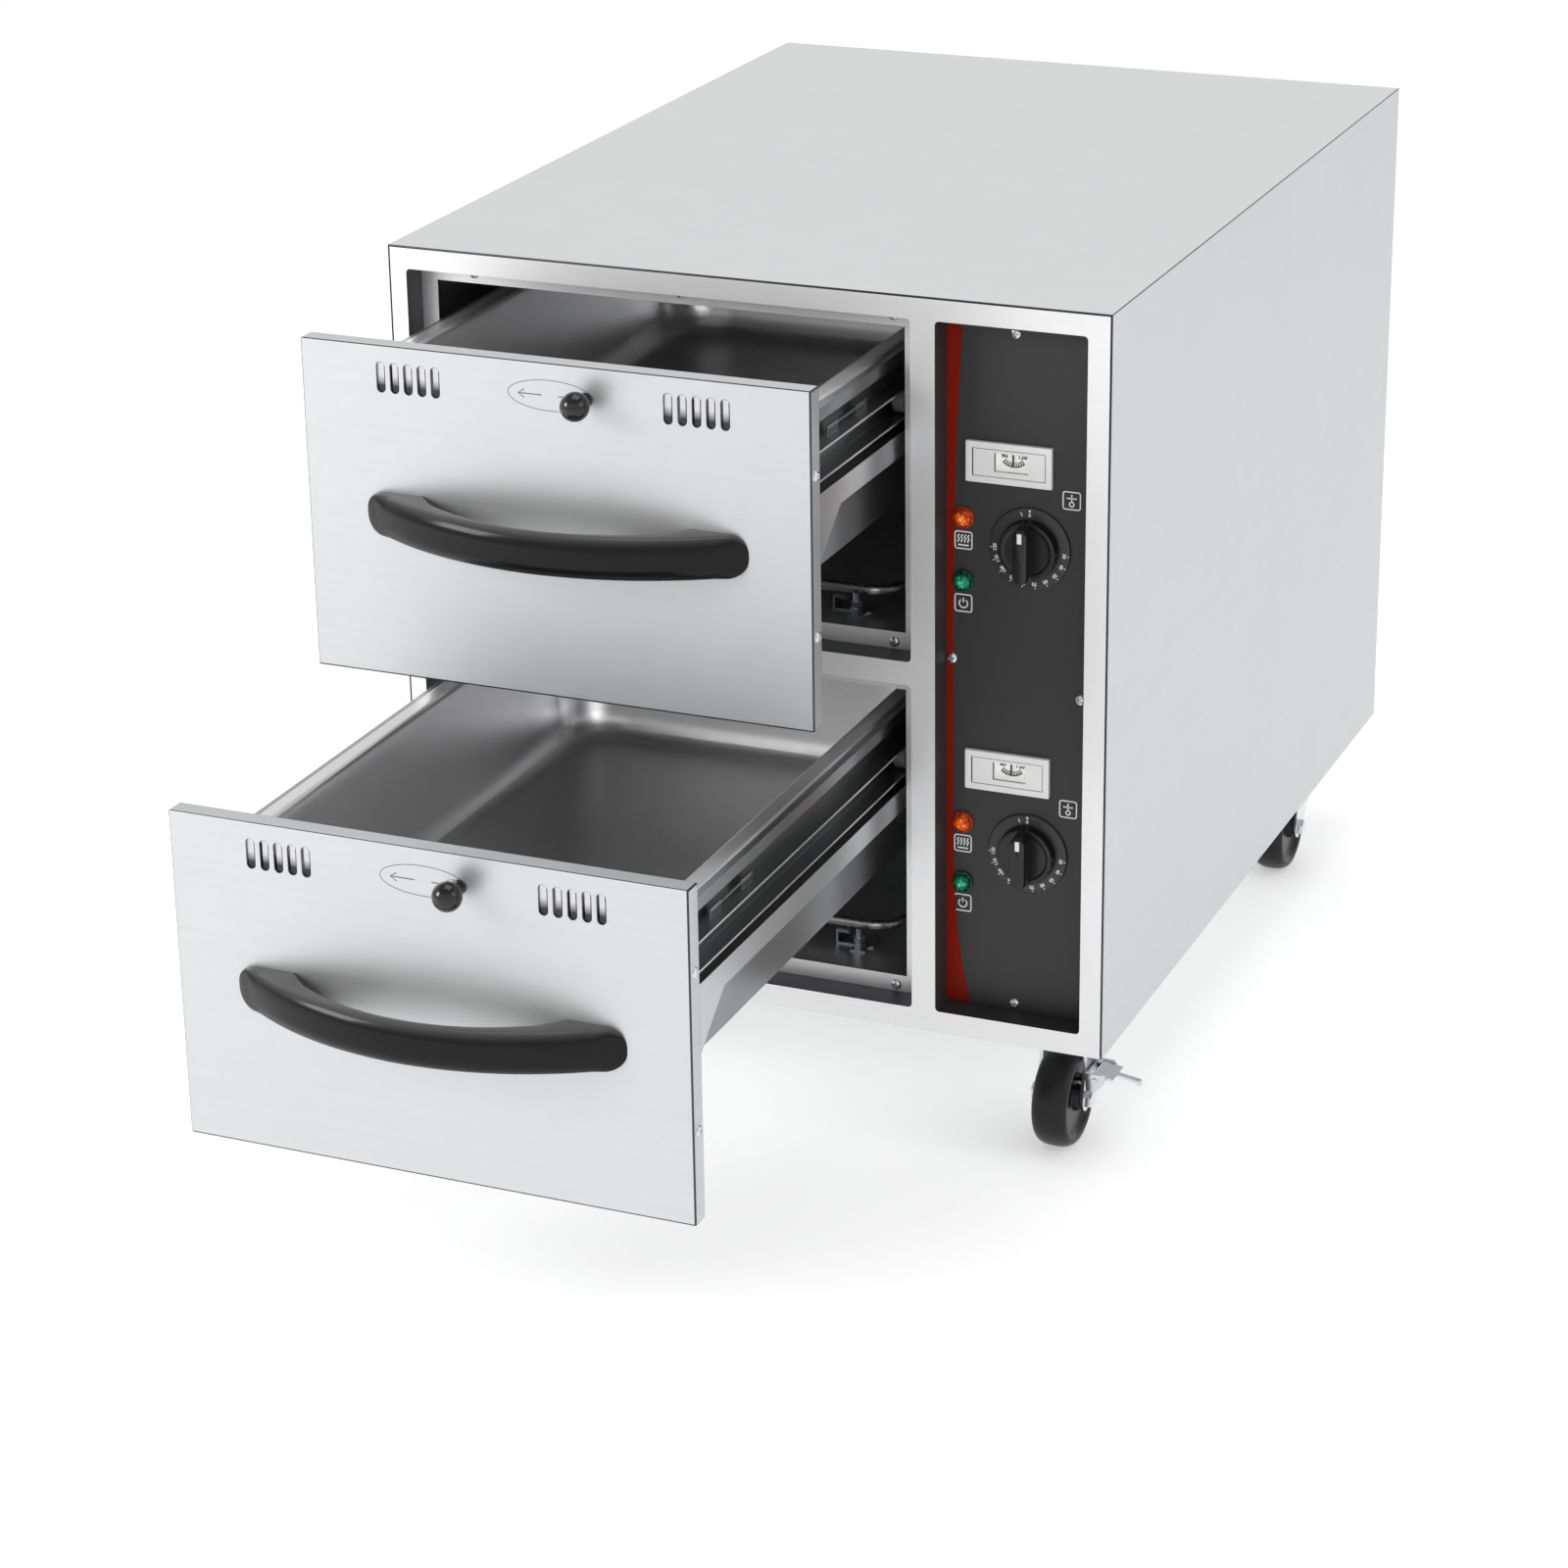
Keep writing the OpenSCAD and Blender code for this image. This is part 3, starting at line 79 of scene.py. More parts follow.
def put(name, data):
    """A new object in the scene, at the origin."""
    obj = bpy.data.objects.new(name, data)
    bpy.context.scene.collection.objects.link(obj)
    return obj


def points_of(mesh):
    """A mesh's points, one row each."""
    values = np.empty(len(mesh.vertices) * 3)
    mesh.vertices.foreach_get("co", values)
    return values.reshape(-1, 3)


def faces_of(obj):
    """Centres and normals of an object's faces, one row each."""
    rows = []
    for key in ("center", "normal"):
        values = np.empty(len(obj.data.polygons) * 3)
        obj.data.polygons.foreach_get(key, values)
        rows.append(values.reshape(-1, 3))
    return rows


def set_materials(obj, index):
    """Sets which of the object's materials each face shows."""
    obj.data.polygons.foreach_set("material_index", np.asarray(index).astype(np.int32))


def set_values(mesh, name, values):
    """Stores one number per point, which a material reads by its name."""
    attribute = mesh.attributes.new(name, "FLOAT", "POINT")
    attribute.data.foreach_set("value", values.astype(np.float32))


# ---------------------------------------------------------------- surfaces


def quads(rows, cols, around=False):
    """Four-cornered faces between neighbouring points of a grid of rows by columns."""
    r = np.arange(rows - 1)[:, None]
    c = np.arange(cols if around else cols - 1)[None, :]
    d = (c + 1) % cols
    corners = [r * cols + c, r * cols + d, (r + 1) * cols + d, (r + 1) * cols + c]
    return np.stack(corners, -1).reshape(-1, 4).tolist()


def merged(parts):
    """Several surfaces as one: their points stacked and their faces renumbered."""
    points, faces, start = [], [], 0
    for p, f in parts:
        points.append(p)
        faces += [[i + start for i in face] for face in f]
        start += len(p)
    return np.concatenate(points), faces


def unit(v):
    v = np.asarray(v, float)
    return v / np.linalg.norm(v)


def unit_rows(v):
    """Rows of directions, each at unit length."""
    return v / np.maximum(np.linalg.norm(v, axis=1), 1e-9)[:, None]


def at(place, x=0.0, y=0.0, z=0.0):
    """A place moved by millimetres."""
    return np.asarray(place, float) + np.array([x, y, z]) * MM


def crosswise(axis):
    """An axis at unit length, and two directions square to it and to each other."""
    axis = unit(axis)
    u = unit(np.cross((0, 0, 1) if abs(axis[2]) < 0.9 else (0, 1, 0), axis))
    return axis, u, np.cross(axis, u)


def eased(points, radius, steps=4):
    """A bent line whose inner corners become parabola arcs that start one radius away."""
    points = np.asarray(points, float)
    t = np.linspace(0, 1, steps + 1)[:, None]
    out = [points[:1]]
    for a, b, c in zip(points[:-2], points[1:-1], points[2:]):
        back, on = a - b, c - b
        p = b + back * min(radius / max(np.linalg.norm(back), 1e-9), 0.5)
        q = b + on * min(radius / max(np.linalg.norm(on), 1e-9), 0.5)
        out.append((1 - t) ** 2 * p + 2 * t * (1 - t) * b + t**2 * q)
    out.append(points[-1:])
    return np.concatenate(out)


def turned(profile, origin, axis, sides=48):
    """Turned part: point = origin + height x axis + radius x (cos a x u + sin a x v)."""
    profile = np.asarray(profile, float) * MM
    axis, u, v = crosswise(axis)
    a = np.arange(sides) * 2 * np.pi / sides
    ring = np.cos(a)[:, None] * u + np.sin(a)[:, None] * v
    points = (
        np.asarray(origin, float)
        + profile[:, 1, None, None] * axis
        + profile[:, 0, None, None] * ring
    )
    return points.reshape(-1, 3), quads(len(profile), sides, True)


def ring_of(half_w, half_l, r, steps=10):
    """Rings of round-cornered rectangles, one per row: each corner is a quarter circle of
    radius r about (half width - r, half length - r), mirrored to the four quadrants."""
    half_w, half_l, r = (np.asarray(q, float)[:, None] for q in (half_w, half_l, r))
    a = np.concatenate([np.linspace(k, k + 1, steps) for k in range(4)]) * np.pi / 2
    sx = np.repeat([1, -1, -1, 1], steps)
    sy = np.repeat([1, 1, -1, -1], steps)
    return sx * (half_w - r) + r * np.cos(a), sy * (half_l - r) + r * np.sin(a)


def lofted(rings_x, rings_y, heights, origin, axis, along):
    """Stacked rings: point = origin + x x across + y x along + height x axis."""
    axis, along = unit(axis), unit(along)
    across = np.cross(along, axis)
    h = np.asarray(heights, float)[:, None, None]
    points = (
        np.asarray(origin, float)
        + (rings_x[..., None] * across + rings_y[..., None] * along + h * axis) * MM
    )
    rows, cols = rings_x.shape
    caps = [list(range(cols))[::-1], list(range((rows - 1) * cols, rows * cols))]
    return points.reshape(-1, 3), quads(rows, cols, True) + caps


def ellipse_path(a, b, start=0.0, stop=360.0, n=96):
    """Points of an ellipse: (a x cos t, b x sin t) between two angles in degrees."""
    t = np.radians(np.linspace(start, stop, n))
    return np.stack([a * np.cos(t), b * np.sin(t)], 1)


def ribbon(path, width, origin, closed=False):
    """Flat line of one width on an upright plane: the path shifted half a width both ways
    along its own normal. Path points are (right, up) in millimetres from the origin."""
    path = np.asarray(path, float)
    if closed:
        path = np.concatenate([path, path[:1]])
        ends = np.roll(path[:-1], -1, 0) - np.roll(path[:-1], 1, 0)
        slope = np.concatenate([ends, ends[:1]])
    else:
        slope = np.gradient(path, axis=0)
    slope = slope / np.linalg.norm(slope, axis=1)[:, None]
    side = np.stack([-slope[:, 1], slope[:, 0]], 1) * width / 2
    flat = np.stack([path - side, path + side], 1).reshape(-1, 2)
    points = np.zeros((len(flat), 3))
    points[:, 0], points[:, 2] = flat[:, 0] * MM, flat[:, 1] * MM
    n = np.arange(len(path) - 1) * 2
    faces = np.stack([n, n + 2, n + 3, n + 1], 1).tolist()
    return points + np.asarray(origin, float), faces


def disc(radius, origin, sides=24):
    """Flat upright disc of points at equal angles."""
    a = np.arange(sides) * 2 * np.pi / sides
    points = np.stack([np.cos(a), 0 * a, np.sin(a)], 1) * radius * MM
    return points + np.asarray(origin, float), [list(range(sides))]


def lettering(text, size, origin, turn=0.0):
    """Flat upright figures centred on the origin, turned clockwise by an angle in radians."""
    curve = bpy.data.curves.new("figures", "FONT")
    curve.body, curve.size = text, size
    curve.align_x, curve.align_y = "CENTER", "CENTER"
    curve.resolution_u = 3
    curve.offset = 0.03 * size
    maker = put("figures", curve)
    graph = bpy.context.evaluated_depsgraph_get()
    mesh = bpy.data.meshes.new_from_object(maker.evaluated_get(graph))
    x, z = points_of(mesh)[:, :2].T * MM
    faces = [list(p.vertices) for p in mesh.polygons]
    bpy.data.objects.remove(maker)
    bpy.data.curves.remove(curve)
    bpy.data.meshes.remove(mesh)
    c, s = math.cos(turn), math.sin(turn)
    points = np.stack([c * x + s * z, 0 * x, c * z - s * x], 1)
    return points + np.asarray(origin, float), faces


# ---------------------------------------------------------------- pieces


def piece(name, surface, material, body, nodes=(), recalc=True, sharp=40):
    """Puts a surface into a mesh object, closes its seams, and ties it to a body. Flat
    printed marks have no seams and keep their normals as drawn, without recalc."""
    points, faces = surface
    mesh = bpy.data.meshes.new(name)
    mesh.from_pydata(np.asarray(points).tolist(), [], faces)
    if recalc:
        work = bmesh.new()
        work.from_mesh(mesh)
        bmesh.ops.remove_doubles(work, verts=work.verts, dist=DOUBLES)
        bmesh.ops.recalc_face_normals(work, faces=work.faces)
        work.to_mesh(mesh)
        work.free()
    obj = put(name, mesh)
    mesh.materials.append(material)
    mesh.shade_smooth()
    mesh.set_sharp_from_angle(angle=math.radians(sharp))
    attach(obj, body)
    if nodes:
        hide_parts(*nodes)
    return obj


def softened(node, width, material, segments=2, outer=None, painted_edge_tone=None):
    """A CAD node's own shape with rounded edges: doubles are merged, flat faces joined,
    and edges sharper than 35 degrees are bevelled by the width, in millimetres. With an
    outer share the edges of the node's own box are rounded fully and the rest by less. The
    rounded edges may have a painted tone of their own: painted shade on sheet folds and a
    painted highlight on the slides' bends."""
    limit = math.radians(35)
    mesh = frame["nodes"][node].data.copy()
    work = bmesh.new()
    work.from_mesh(mesh)
    bmesh.ops.remove_doubles(work, verts=work.verts, dist=DOUBLES)
    bmesh.ops.dissolve_limit(
        work, angle_limit=math.radians(0.4), verts=work.verts, edges=work.edges
    )
    if outer is not None:
        low, high = (np.array(c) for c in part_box(node))
        weight = work.edges.layers.float.new("bevel_weight_edge")
        for edge in work.edges:
            if len(edge.link_faces) == 2 and edge.calc_face_angle() > limit:
                a, b = (np.array(v.co) for v in edge.verts)
                near = (abs(a - low) < TOUCH) & (abs(b - low) < TOUCH)
                far = (abs(a - high) < TOUCH) & (abs(b - high) < TOUCH)
                edge[weight] = 1.0 if (near | far).sum() >= 2 else outer
    work.to_mesh(mesh)
    work.free()
    obj = put(node + "_dressed", mesh)
    mesh.materials.clear()
    mesh.materials.append(material)
    if painted_edge_tone:
        mesh.materials.append(painted_edge_tone)
    mesh.shade_smooth()
    edges = obj.modifiers.new("edge_rounding", "BEVEL")
    edges.width = width * MM
    edges.segments = segments
    edges.limit_method = "ANGLE" if outer is None else "WEIGHT"
    edges.angle_limit = limit
    edges.harden_normals = False
    edges.use_clamp_overlap = outer is None
    edges.material = 1 if painted_edge_tone else -1
    obj.modifiers.new("flat_faces", "WEIGHTED_NORMAL").keep_sharp = True
    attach(obj, BODY_OF[node])
    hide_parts(node)
    return obj


def plain(node, material):
    """Gives a CAD node that stays as it is a better material."""
    mesh = frame["nodes"][node].data
    for k in range(len(mesh.materials)):
        mesh.materials[k] = material
    if not mesh.materials:
        mesh.materials.append(material)


# ---------------------------------------------------------------- shared effects


def new_group(name, inputs, outputs):
    """A node group of numbers, with its inputs' defaults and its outputs' names."""
    group = bpy.data.node_groups.new(name, "ShaderNodeTree")
    kind = "NodeSocketFloat"
    for label, value in inputs.items():
        socket = group.interface.new_socket(name=label, in_out="INPUT", socket_type=kind)
        socket.default_value = value
    for label in outputs:
        group.interface.new_socket(name=label, in_out="OUTPUT", socket_type=kind)
    return group, group.nodes.new("NodeGroupInput"), group.nodes.new("NodeGroupOutput")


def maths(tree, operation, a, b, clamp=False):
    """One operation on two values, each a number or a socket."""
    node = tree.nodes.new("ShaderNodeMath")
    node.operation = operation
    node.use_clamp = clamp
    for k, value in enumerate((a, b)):
        if isinstance(value, (int, float)):
            node.inputs[k].default_value = value
        else:
            tree.links.new(value, node.inputs[k])
    return node.outputs[0]


def noise(tree, vector, scale, detail=3.0, rough=0.55):
    """Noise between 0 and 1 at the places that a socket gives."""
    node = tree.nodes.new("ShaderNodeTexNoise")
    node.inputs["Scale"].default_value = scale
    node.inputs["Detail"].default_value = detail
    node.inputs["Roughness"].default_value = rough
    tree.links.new(vector, node.inputs["Vector"])
    return node.outputs["Fac"]


def scaled_place(tree, scale):
    """The object's own coordinates times a factor from a socket."""
    where = tree.nodes.new("ShaderNodeTexCoord")
    scaled = tree.nodes.new("ShaderNodeVectorMath")
    scaled.operation = "SCALE"
    tree.links.new(where.outputs["Object"], scaled.inputs[0])
    tree.links.new(scale, scaled.inputs["Scale"])
    return scaled.outputs[0]


def make_grain():
    """Brushing lines: noise drawn out along the sheet's length. Upright faces are brushed
    level, so the noise changes fast with height, and level faces change fast with depth."""
    group, into, out = new_group(
        "brushing_lines", {"Along": 6.0, "Across": 900.0}, ("Lines", "Bands"))
    where = group.nodes.new("ShaderNodeTexCoord")
    normal = group.nodes.new("ShaderNodeSeparateXYZ")
    group.links.new(where.outputs["Normal"], normal.inputs[0])
    level = maths(group, "GREATER_THAN", maths(group, "ABSOLUTE", normal.outputs["Z"], 0), 0.7)
    upright = maths(group, "SUBTRACT", 1.0, level)
    spread = maths(group, "SUBTRACT", into.outputs["Across"], into.outputs["Along"])
    scale = group.nodes.new("ShaderNodeCombineXYZ")
    group.links.new(into.outputs["Along"], scale.inputs["X"])
    for mask, axis in ((level, "Y"), (upright, "Z")):
        value = maths(group, "ADD", into.outputs["Along"], maths(group, "MULTIPLY", spread, mask))
        group.links.new(value, scale.inputs[axis])
    stretch = group.nodes.new("ShaderNodeVectorMath")
    stretch.operation = "MULTIPLY"
    group.links.new(where.outputs["Object"], stretch.inputs[0])
    group.links.new(scale.outputs[0], stretch.inputs[1])
    group.links.new(noise(group, stretch.outputs[0], 1.0, 2.0, 0.6), out.inputs["Lines"])
    group.links.new(noise(group, stretch.outputs[0], 0.12, 3.0, 0.6), out.inputs["Bands"])
    return group


def make_marks():
    """Faint handling marks and uneven tone: two sizes of noise multiplied together."""
    group, into, out = new_group("handling_marks", {"Size": 7.0}, ("Mask",))
    where = scaled_place(group, into.outputs["Size"])
    broad = noise(group, where, 1.0, 4.0)
    fine = noise(group, where, 5.5, 5.0, 0.65)
    mask = maths(group, "MULTIPLY", maths(group, "MULTIPLY", broad, fine), 2.0, True)
    group.links.new(mask, out.inputs["Mask"])
    return group


def make_speckle():
    """Fine orange-peel or moulded texture: a height from noise at a given pitch."""
    group, into, out = new_group("surface_texture", {"Pitch": 900.0}, ("Height",))
    where = scaled_place(group, into.outputs["Pitch"])
    group.links.new(noise(group, where, 1.0, 2.0), out.inputs["Height"])
    return group


grain, marks, speckle = make_grain(), make_marks(), make_speckle()


def use(tree, group, **values):
    """Puts a node group into a material's tree, with values for its inputs."""
    node = tree.nodes.new("ShaderNodeGroup")
    node.node_tree = group
    for label, value in values.items():
        node.inputs[label].default_value = value
    return node


def new_material(name):
    """A new material with its node tree and its shader."""
    material = bpy.data.materials.new(name)
    material.use_nodes = True
    return material, material.node_tree, material.node_tree.nodes["Principled BSDF"]


def relief(tree, shader, height, depth):
    """Bump of a depth in millimetres."""
    bump = tree.nodes.new("ShaderNodeBump")
    bump.inputs["Strength"].default_value = 1.0
    bump.inputs["Distance"].default_value = depth * MM
    tree.links.new(height, bump.inputs["Height"])
    tree.links.new(bump.outputs["Normal"], shader.inputs["Normal"])


def colour_ramp(tree, factor, *stops):
    """Colours by a factor, through stops of position and colour in rising order."""
    node = tree.nodes.new("ShaderNodeValToRGB")
    elements = node.color_ramp.elements
    for k in (0, -1):
        elements[k].position = stops[k][0]
        elements[k].color = (*stops[k][1], 1)
    for position, colour in stops[1:-1]:
        elements.new(position).color = (*colour, 1)
    tree.links.new(factor, node.inputs["Fac"])
    return node.outputs["Color"]


def finish(name, colour, rough, uneven=0.05, lines=None, texture=None, depth=0.02, **sockets):
    """One finish. Colour and roughness vary with the handling marks by the uneven share;
    lines = (along, across, roughness share) adds brushing, and texture = pitch a fine
    relief. Both raise a bump of the given depth in millimetres."""
    material, tree, shader = new_material(name)
    mask = use(tree, marks, Size=sockets.pop("Size", 7.0)).outputs["Mask"]
    shade = tree.nodes.new("ShaderNodeMix")
    shade.data_type = "RGBA"
    shade.inputs["A"].default_value = (*[c * (1 - uneven) for c in colour], 1)
    shade.inputs["B"].default_value = (*[min(c * (1 + uneven), 1) for c in colour], 1)
    spread = maths(tree, "MULTIPLY", maths(tree, "SUBTRACT", mask, 0.5), 2.2 * uneven * rough)
    height = None
    tone = mask
    if lines:
        strokes = use(tree, grain, Along=lines[0], Across=lines[1])
        level = maths(tree, "SUBTRACT", strokes.outputs["Lines"], 0.5)
        bands = maths(tree, "SUBTRACT", strokes.outputs["Bands"], 0.5)
        spread = maths(tree, "ADD", spread, maths(tree, "MULTIPLY", level, lines[2]))
        tone = maths(tree, "ADD", mask, maths(tree, "ADD", level, bands), True)
        height = strokes.outputs["Lines"]
    if texture:
        height = use(tree, speckle, Pitch=texture).outputs["Height"]
    tree.links.new(tone, shade.inputs["Factor"])
    tree.links.new(shade.outputs["Result"], shader.inputs["Base Color"])
    tree.links.new(maths(tree, "ADD", spread, rough, True), shader.inputs["Roughness"])
    if height is not None:
        relief(tree, shader, height, depth)
    for label, value in sockets.items():
        shader.inputs[label.replace("_", " ")].default_value = value
    return material


def painted_top_sheen(material, colour):
    """Painted sheen: mixes a paler tone into a finish's colour where the faces turn upward,
    standing in for the ceiling mirrored in a glossy moulding.
    """
    tree = material.node_tree
    base = tree.nodes["Principled BSDF"].inputs["Base Color"]
    where = tree.nodes.new("ShaderNodeTexCoord")
    normal = tree.nodes.new("ShaderNodeSeparateXYZ")
    rise = tree.nodes.new("ShaderNodeMapRange")
    rise.interpolation_type = "SMOOTHSTEP"
    rise.inputs["From Min"].default_value = 0.25
    rise.inputs["From Max"].default_value = 1.0
    mix = tree.nodes.new("ShaderNodeMix")
    mix.data_type = "RGBA"
    mix.inputs["B"].default_value = (*colour, 1)
    tree.links.new(where.outputs["Normal"], normal.inputs[0])
    tree.links.new(normal.outputs["Z"], rise.inputs["Value"])
    tree.links.new(rise.outputs["Result"], mix.inputs["Factor"])
    tree.links.new(base.links[0].from_socket, mix.inputs["A"])
    tree.links.new(mix.outputs["Result"], base)


def lens(name, middle, body, edge, glow):
    """Coloured lens over a faceted reflector, with a painted glow. The colour runs from a
    bright middle to a deep edge by the piece's own attribute for the distance from its
    axis, and the same colour is emitted: the bright middle and the emission are painted
    light gathered in the dome. Bump cells stand for the reflector's facets."""
    material, tree, shader = new_material(name)
    reach = tree.nodes.new("ShaderNodeAttribute")
    reach.attribute_name = "from_axis"
    where = tree.nodes.new("ShaderNodeTexCoord")
    cells = tree.nodes.new("ShaderNodeTexVoronoi")
    cells.inputs["Scale"].default_value = 330.0
    tree.links.new(where.outputs["Object"], cells.inputs["Vector"])
    distance = cells.outputs["Distance"]
    facets = maths(tree, "MULTIPLY", maths(tree, "SUBTRACT", distance, 0.4), 0.9)
    place = maths(tree, "ADD", reach.outputs["Fac"], facets, True)
    # Painted glow: bright in the middle, darker towards the edge.
    colour = colour_ramp(tree, place, (0.0, middle), (0.42, body), (1.0, edge))
    tree.links.new(colour, shader.inputs["Base Color"])
    tree.links.new(colour, shader.inputs["Emission Color"])
    shader.inputs["Emission Strength"].default_value = glow
    shader.inputs["Roughness"].default_value = 0.12
    shader.inputs["Specular IOR Level"].default_value = 0.35
    relief(tree, shader, distance, 0.9)
    return material


def sheet_with_painted_shade(name, top, bottom, rough):
    """Sheet behind a row of slots, with painted reflection and shade. Its colour falls from
    top to bottom by the piece's own attribute for the height in the slots: a painted
    reflection of the room above at the top and painted shade at the bottom."""
    material, tree, shader = new_material(name)
    rise = tree.nodes.new("ShaderNodeAttribute")
    rise.attribute_name = "slot_height"
    mask = use(tree, marks, Size=30.0).outputs["Mask"]
    uneven = maths(tree, "MULTIPLY", maths(tree, "SUBTRACT", mask, 0.5), 0.08)
    height = maths(tree, "ADD", rise.outputs["Fac"], uneven, True)
    colour = colour_ramp(tree, height, (0.22, bottom), (0.56, top))
    tree.links.new(colour, shader.inputs["Base Color"])
    shader.inputs["Metallic"].default_value = 0.9
    shader.inputs["Roughness"].default_value = rough
    return material


# ---------------------------------------------------------------- finishes

brushed = finish("brushed_stainless_sheet", (0.585, 0.59, 0.595), 0.42, 0.03,
                 (3.0, 1800.0, 0.10), depth=0.003, Metallic=0.78, Anisotropic=0.3,
                 Anisotropic_Rotation=0.25)
# Paler, less metallic copy of the brushed sheet: painted light on the front frame and the liner
# flanges.
frame_steel_painted_light = finish("brushed_stainless_frame", (0.80, 0.80, 0.805), 0.42, 0.02,
                     (3.0, 2200.0, 0.07), depth=0.0016, Metallic=0.65)
# Paler copy of the brushed sheet for the roof: its extra lightness is painted light, and its gloss
# is not stretched.
roof_painted_light = finish("brushed_stainless_roof_painted_light", (0.70, 0.705, 0.71), 0.36, 0.02,
                     (3.0, 2200.0, 0.07), depth=0.0016, Metallic=0.85)
# Dark finish for rounded sheet edges: painted shade along the folds.
edge_painted_shade = finish("sheet_edge_painted_shade", (0.06, 0.06, 0.065), 0.30, 0.05, Metallic=1.0)
satin = finish("satin_stainless_sheet", (0.64, 0.645, 0.65), 0.34, 0.04, (6.0, 1600.0, 0.05),
               depth=0.001, Metallic=0.9)
box_steel = finish("drawer_box_sheet", (0.38, 0.385, 0.39), 0.30, 0.04, (6.0, 1600.0, 0.05),
                   depth=0.001, Metallic=0.95)
pressed = finish("pressed_stainless", (0.72, 0.72, 0.725), 0.30, 0.04, Metallic=0.85)
zinc = finish("zinc_plated_steel", (0.62, 0.63, 0.65), 0.28, 0.08, texture=260.0, depth=0.004,
              Metallic=1.0, Size=30.0)
slide_steel = finish("rolled_slide_steel", (0.27, 0.275, 0.28), 0.30, 0.03, Metallic=0.95,
                     Size=9.0)
# Pale finish for the slides' rounded bends: painted highlights along them.
slide_bends_painted_highlight = finish("bright_slide_bends", (0.90, 0.90, 0.90), 0.35, 0.03, Metallic=0.45,
                     Size=9.0)
# Lighter copy of the slide steel: painted light on the outer lips and gussets.
slide_lip_painted_light = finish("slide_lip_steel", (0.62, 0.625, 0.63), 0.30, 0.03, Metallic=0.8, Size=9.0)
# Dark copy of the steel: painted shade on the front frame's returns.
lip_steel = finish("frame_return_painted_shade", (0.13, 0.13, 0.135), 0.36, 0.03, Metallic=0.95)
screw_steel = finish("screw_steel", (0.62, 0.62, 0.63), 0.22, 0.08, texture=900.0, depth=0.002,
                     Metallic=1.0, Size=60.0)
caster_steel = finish("bright_zinc_casters", (0.72, 0.73, 0.75), 0.14, 0.08, texture=300.0,
                      depth=0.002, Metallic=1.0, Size=40.0)
sheath = finish("element_sheath", (0.66, 0.65, 0.64), 0.28, 0.10, texture=700.0, depth=0.002,
                Metallic=1.0, Size=30.0)
wool = finish("mineral_wool", (0.72, 0.62, 0.36), 0.95, 0.25, texture=240.0, depth=0.6,
              Size=60.0)
charcoal = finish("charcoal_powder_coat", (0.034, 0.034, 0.036), 0.45, 0.06, texture=1500.0,
                  depth=0.03, Size=10.0, Specular_IOR_Level=0.35)
stripe_red = finish("red_printed_stripe", (0.235, 0.013, 0.006), 0.30, 0.08, texture=1500.0,
                    depth=0.01, Size=25.0, Specular_IOR_Level=0.05)
white_plastic = finish("white_moulded_plastic", (0.86, 0.86, 0.85), 0.30, 0.03, texture=900.0,
                       depth=0.004, Size=25.0)
# The scale card's emission is a painted glow that lifts it out of the window's shade.
scale_card_painted_glow = finish("white_scale_card", (0.95, 0.95, 0.94), 0.6, 0.02,
                    Emission_Color=(1.0, 1.0, 0.99, 1.0), Emission_Strength=0.25)
print_white = finish("white_print", (0.85, 0.85, 0.85), 0.5, 0.05, texture=2500.0, depth=0.01)
# Grey for etched lines, also used as painted shade on the thermometer windows' reveals.
grey_print_and_shade = finish("etched_line_and_painted_shade", (0.17, 0.17, 0.18), 0.5, 0.10, texture=2500.0, depth=0.01)
print_black = finish("black_print", (0.02, 0.02, 0.02), 0.5, 0.10, texture=2500.0, depth=0.01)
ring_black = finish("satin_black_ring", (0.026, 0.026, 0.026), 0.34, 0.08, texture=1600.0,
                    depth=0.006, Size=30.0)
gloss_black = finish("glossy_black_plastic", (0.006, 0.006, 0.006), 0.08, 0.10, texture=500.0,
                     depth=0.002, Size=20.0)
grip_black = finish("moulded_black_grip", (0.004, 0.004, 0.004), 0.17, 0.08, Size=14.0,
                    Specular_IOR_Level=0.20)
# Painted sheen on the grip's upward faces: a paler colour where they mirror the ceiling.
painted_top_sheen(grip_black, (0.085, 0.085, 0.085))
knob_black = finish("satin_black_knob", (0.008, 0.008, 0.008), 0.26, 0.08, texture=1600.0,
                    depth=0.006, Size=30.0, Specular_IOR_Level=0.4)
nylon = finish("grey_nylon", (0.20, 0.20, 0.20), 0.38, 0.05, texture=600.0, depth=0.01)
pale_plastic = finish("pale_terminal_plastic", (0.78, 0.77, 0.72), 0.42, 0.05, texture=600.0,
                      depth=0.01)
rubber = finish("wheel_tread", (0.007, 0.007, 0.007), 0.34, 0.14, texture=900.0, depth=0.01,
                Size=25.0, Specular_IOR_Level=0.28)
wheel_core = finish("wheel_core", (0.006, 0.006, 0.006), 0.24, 0.10, texture=900.0, depth=0.006,
                    Size=25.0, Specular_IOR_Level=0.3)
glass = finish("window_glass", (1.0, 1.0, 1.0), 0.0, 0.0, Transmission_Weight=1.0, IOR=1.1)
# The lenses' bright middles and their emission are a painted glow.
orange_lens = lens("orange_lens", (1.0, 0.40, 0.05), (0.68, 0.085, 0.001),
                   (0.22, 0.015, 0.001), 0.30)
green_lens = lens("green_lens", (0.10, 0.75, 0.42), (0.0, 0.22, 0.10), (0.0, 0.03, 0.02), 0.18)
# Vent shutter colour: a painted reflection at the top of the slots and painted shade below.
shutter_painted_shade = sheet_with_painted_shade("vent_shutter_painted_shade", (0.58, 0.58, 0.585),
                             (0.045, 0.045, 0.047), 0.35)


# ---------------------------------------------------------------- places and screws


def drawer_place(level):
    """Middle of the top edge of a drawer's front face."""
    low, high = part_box(level + "_front_panel")
    return np.array([(low.x + high.x) / 2, low.y, high.z])


def dial_place(level):
    """Dial centre on the control panel's face."""
    low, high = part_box(level + "_knob")
    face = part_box("control_panel")[0].y
    return np.array([(low.x + high.x) / 2, face, (low.z + high.z) / 2])


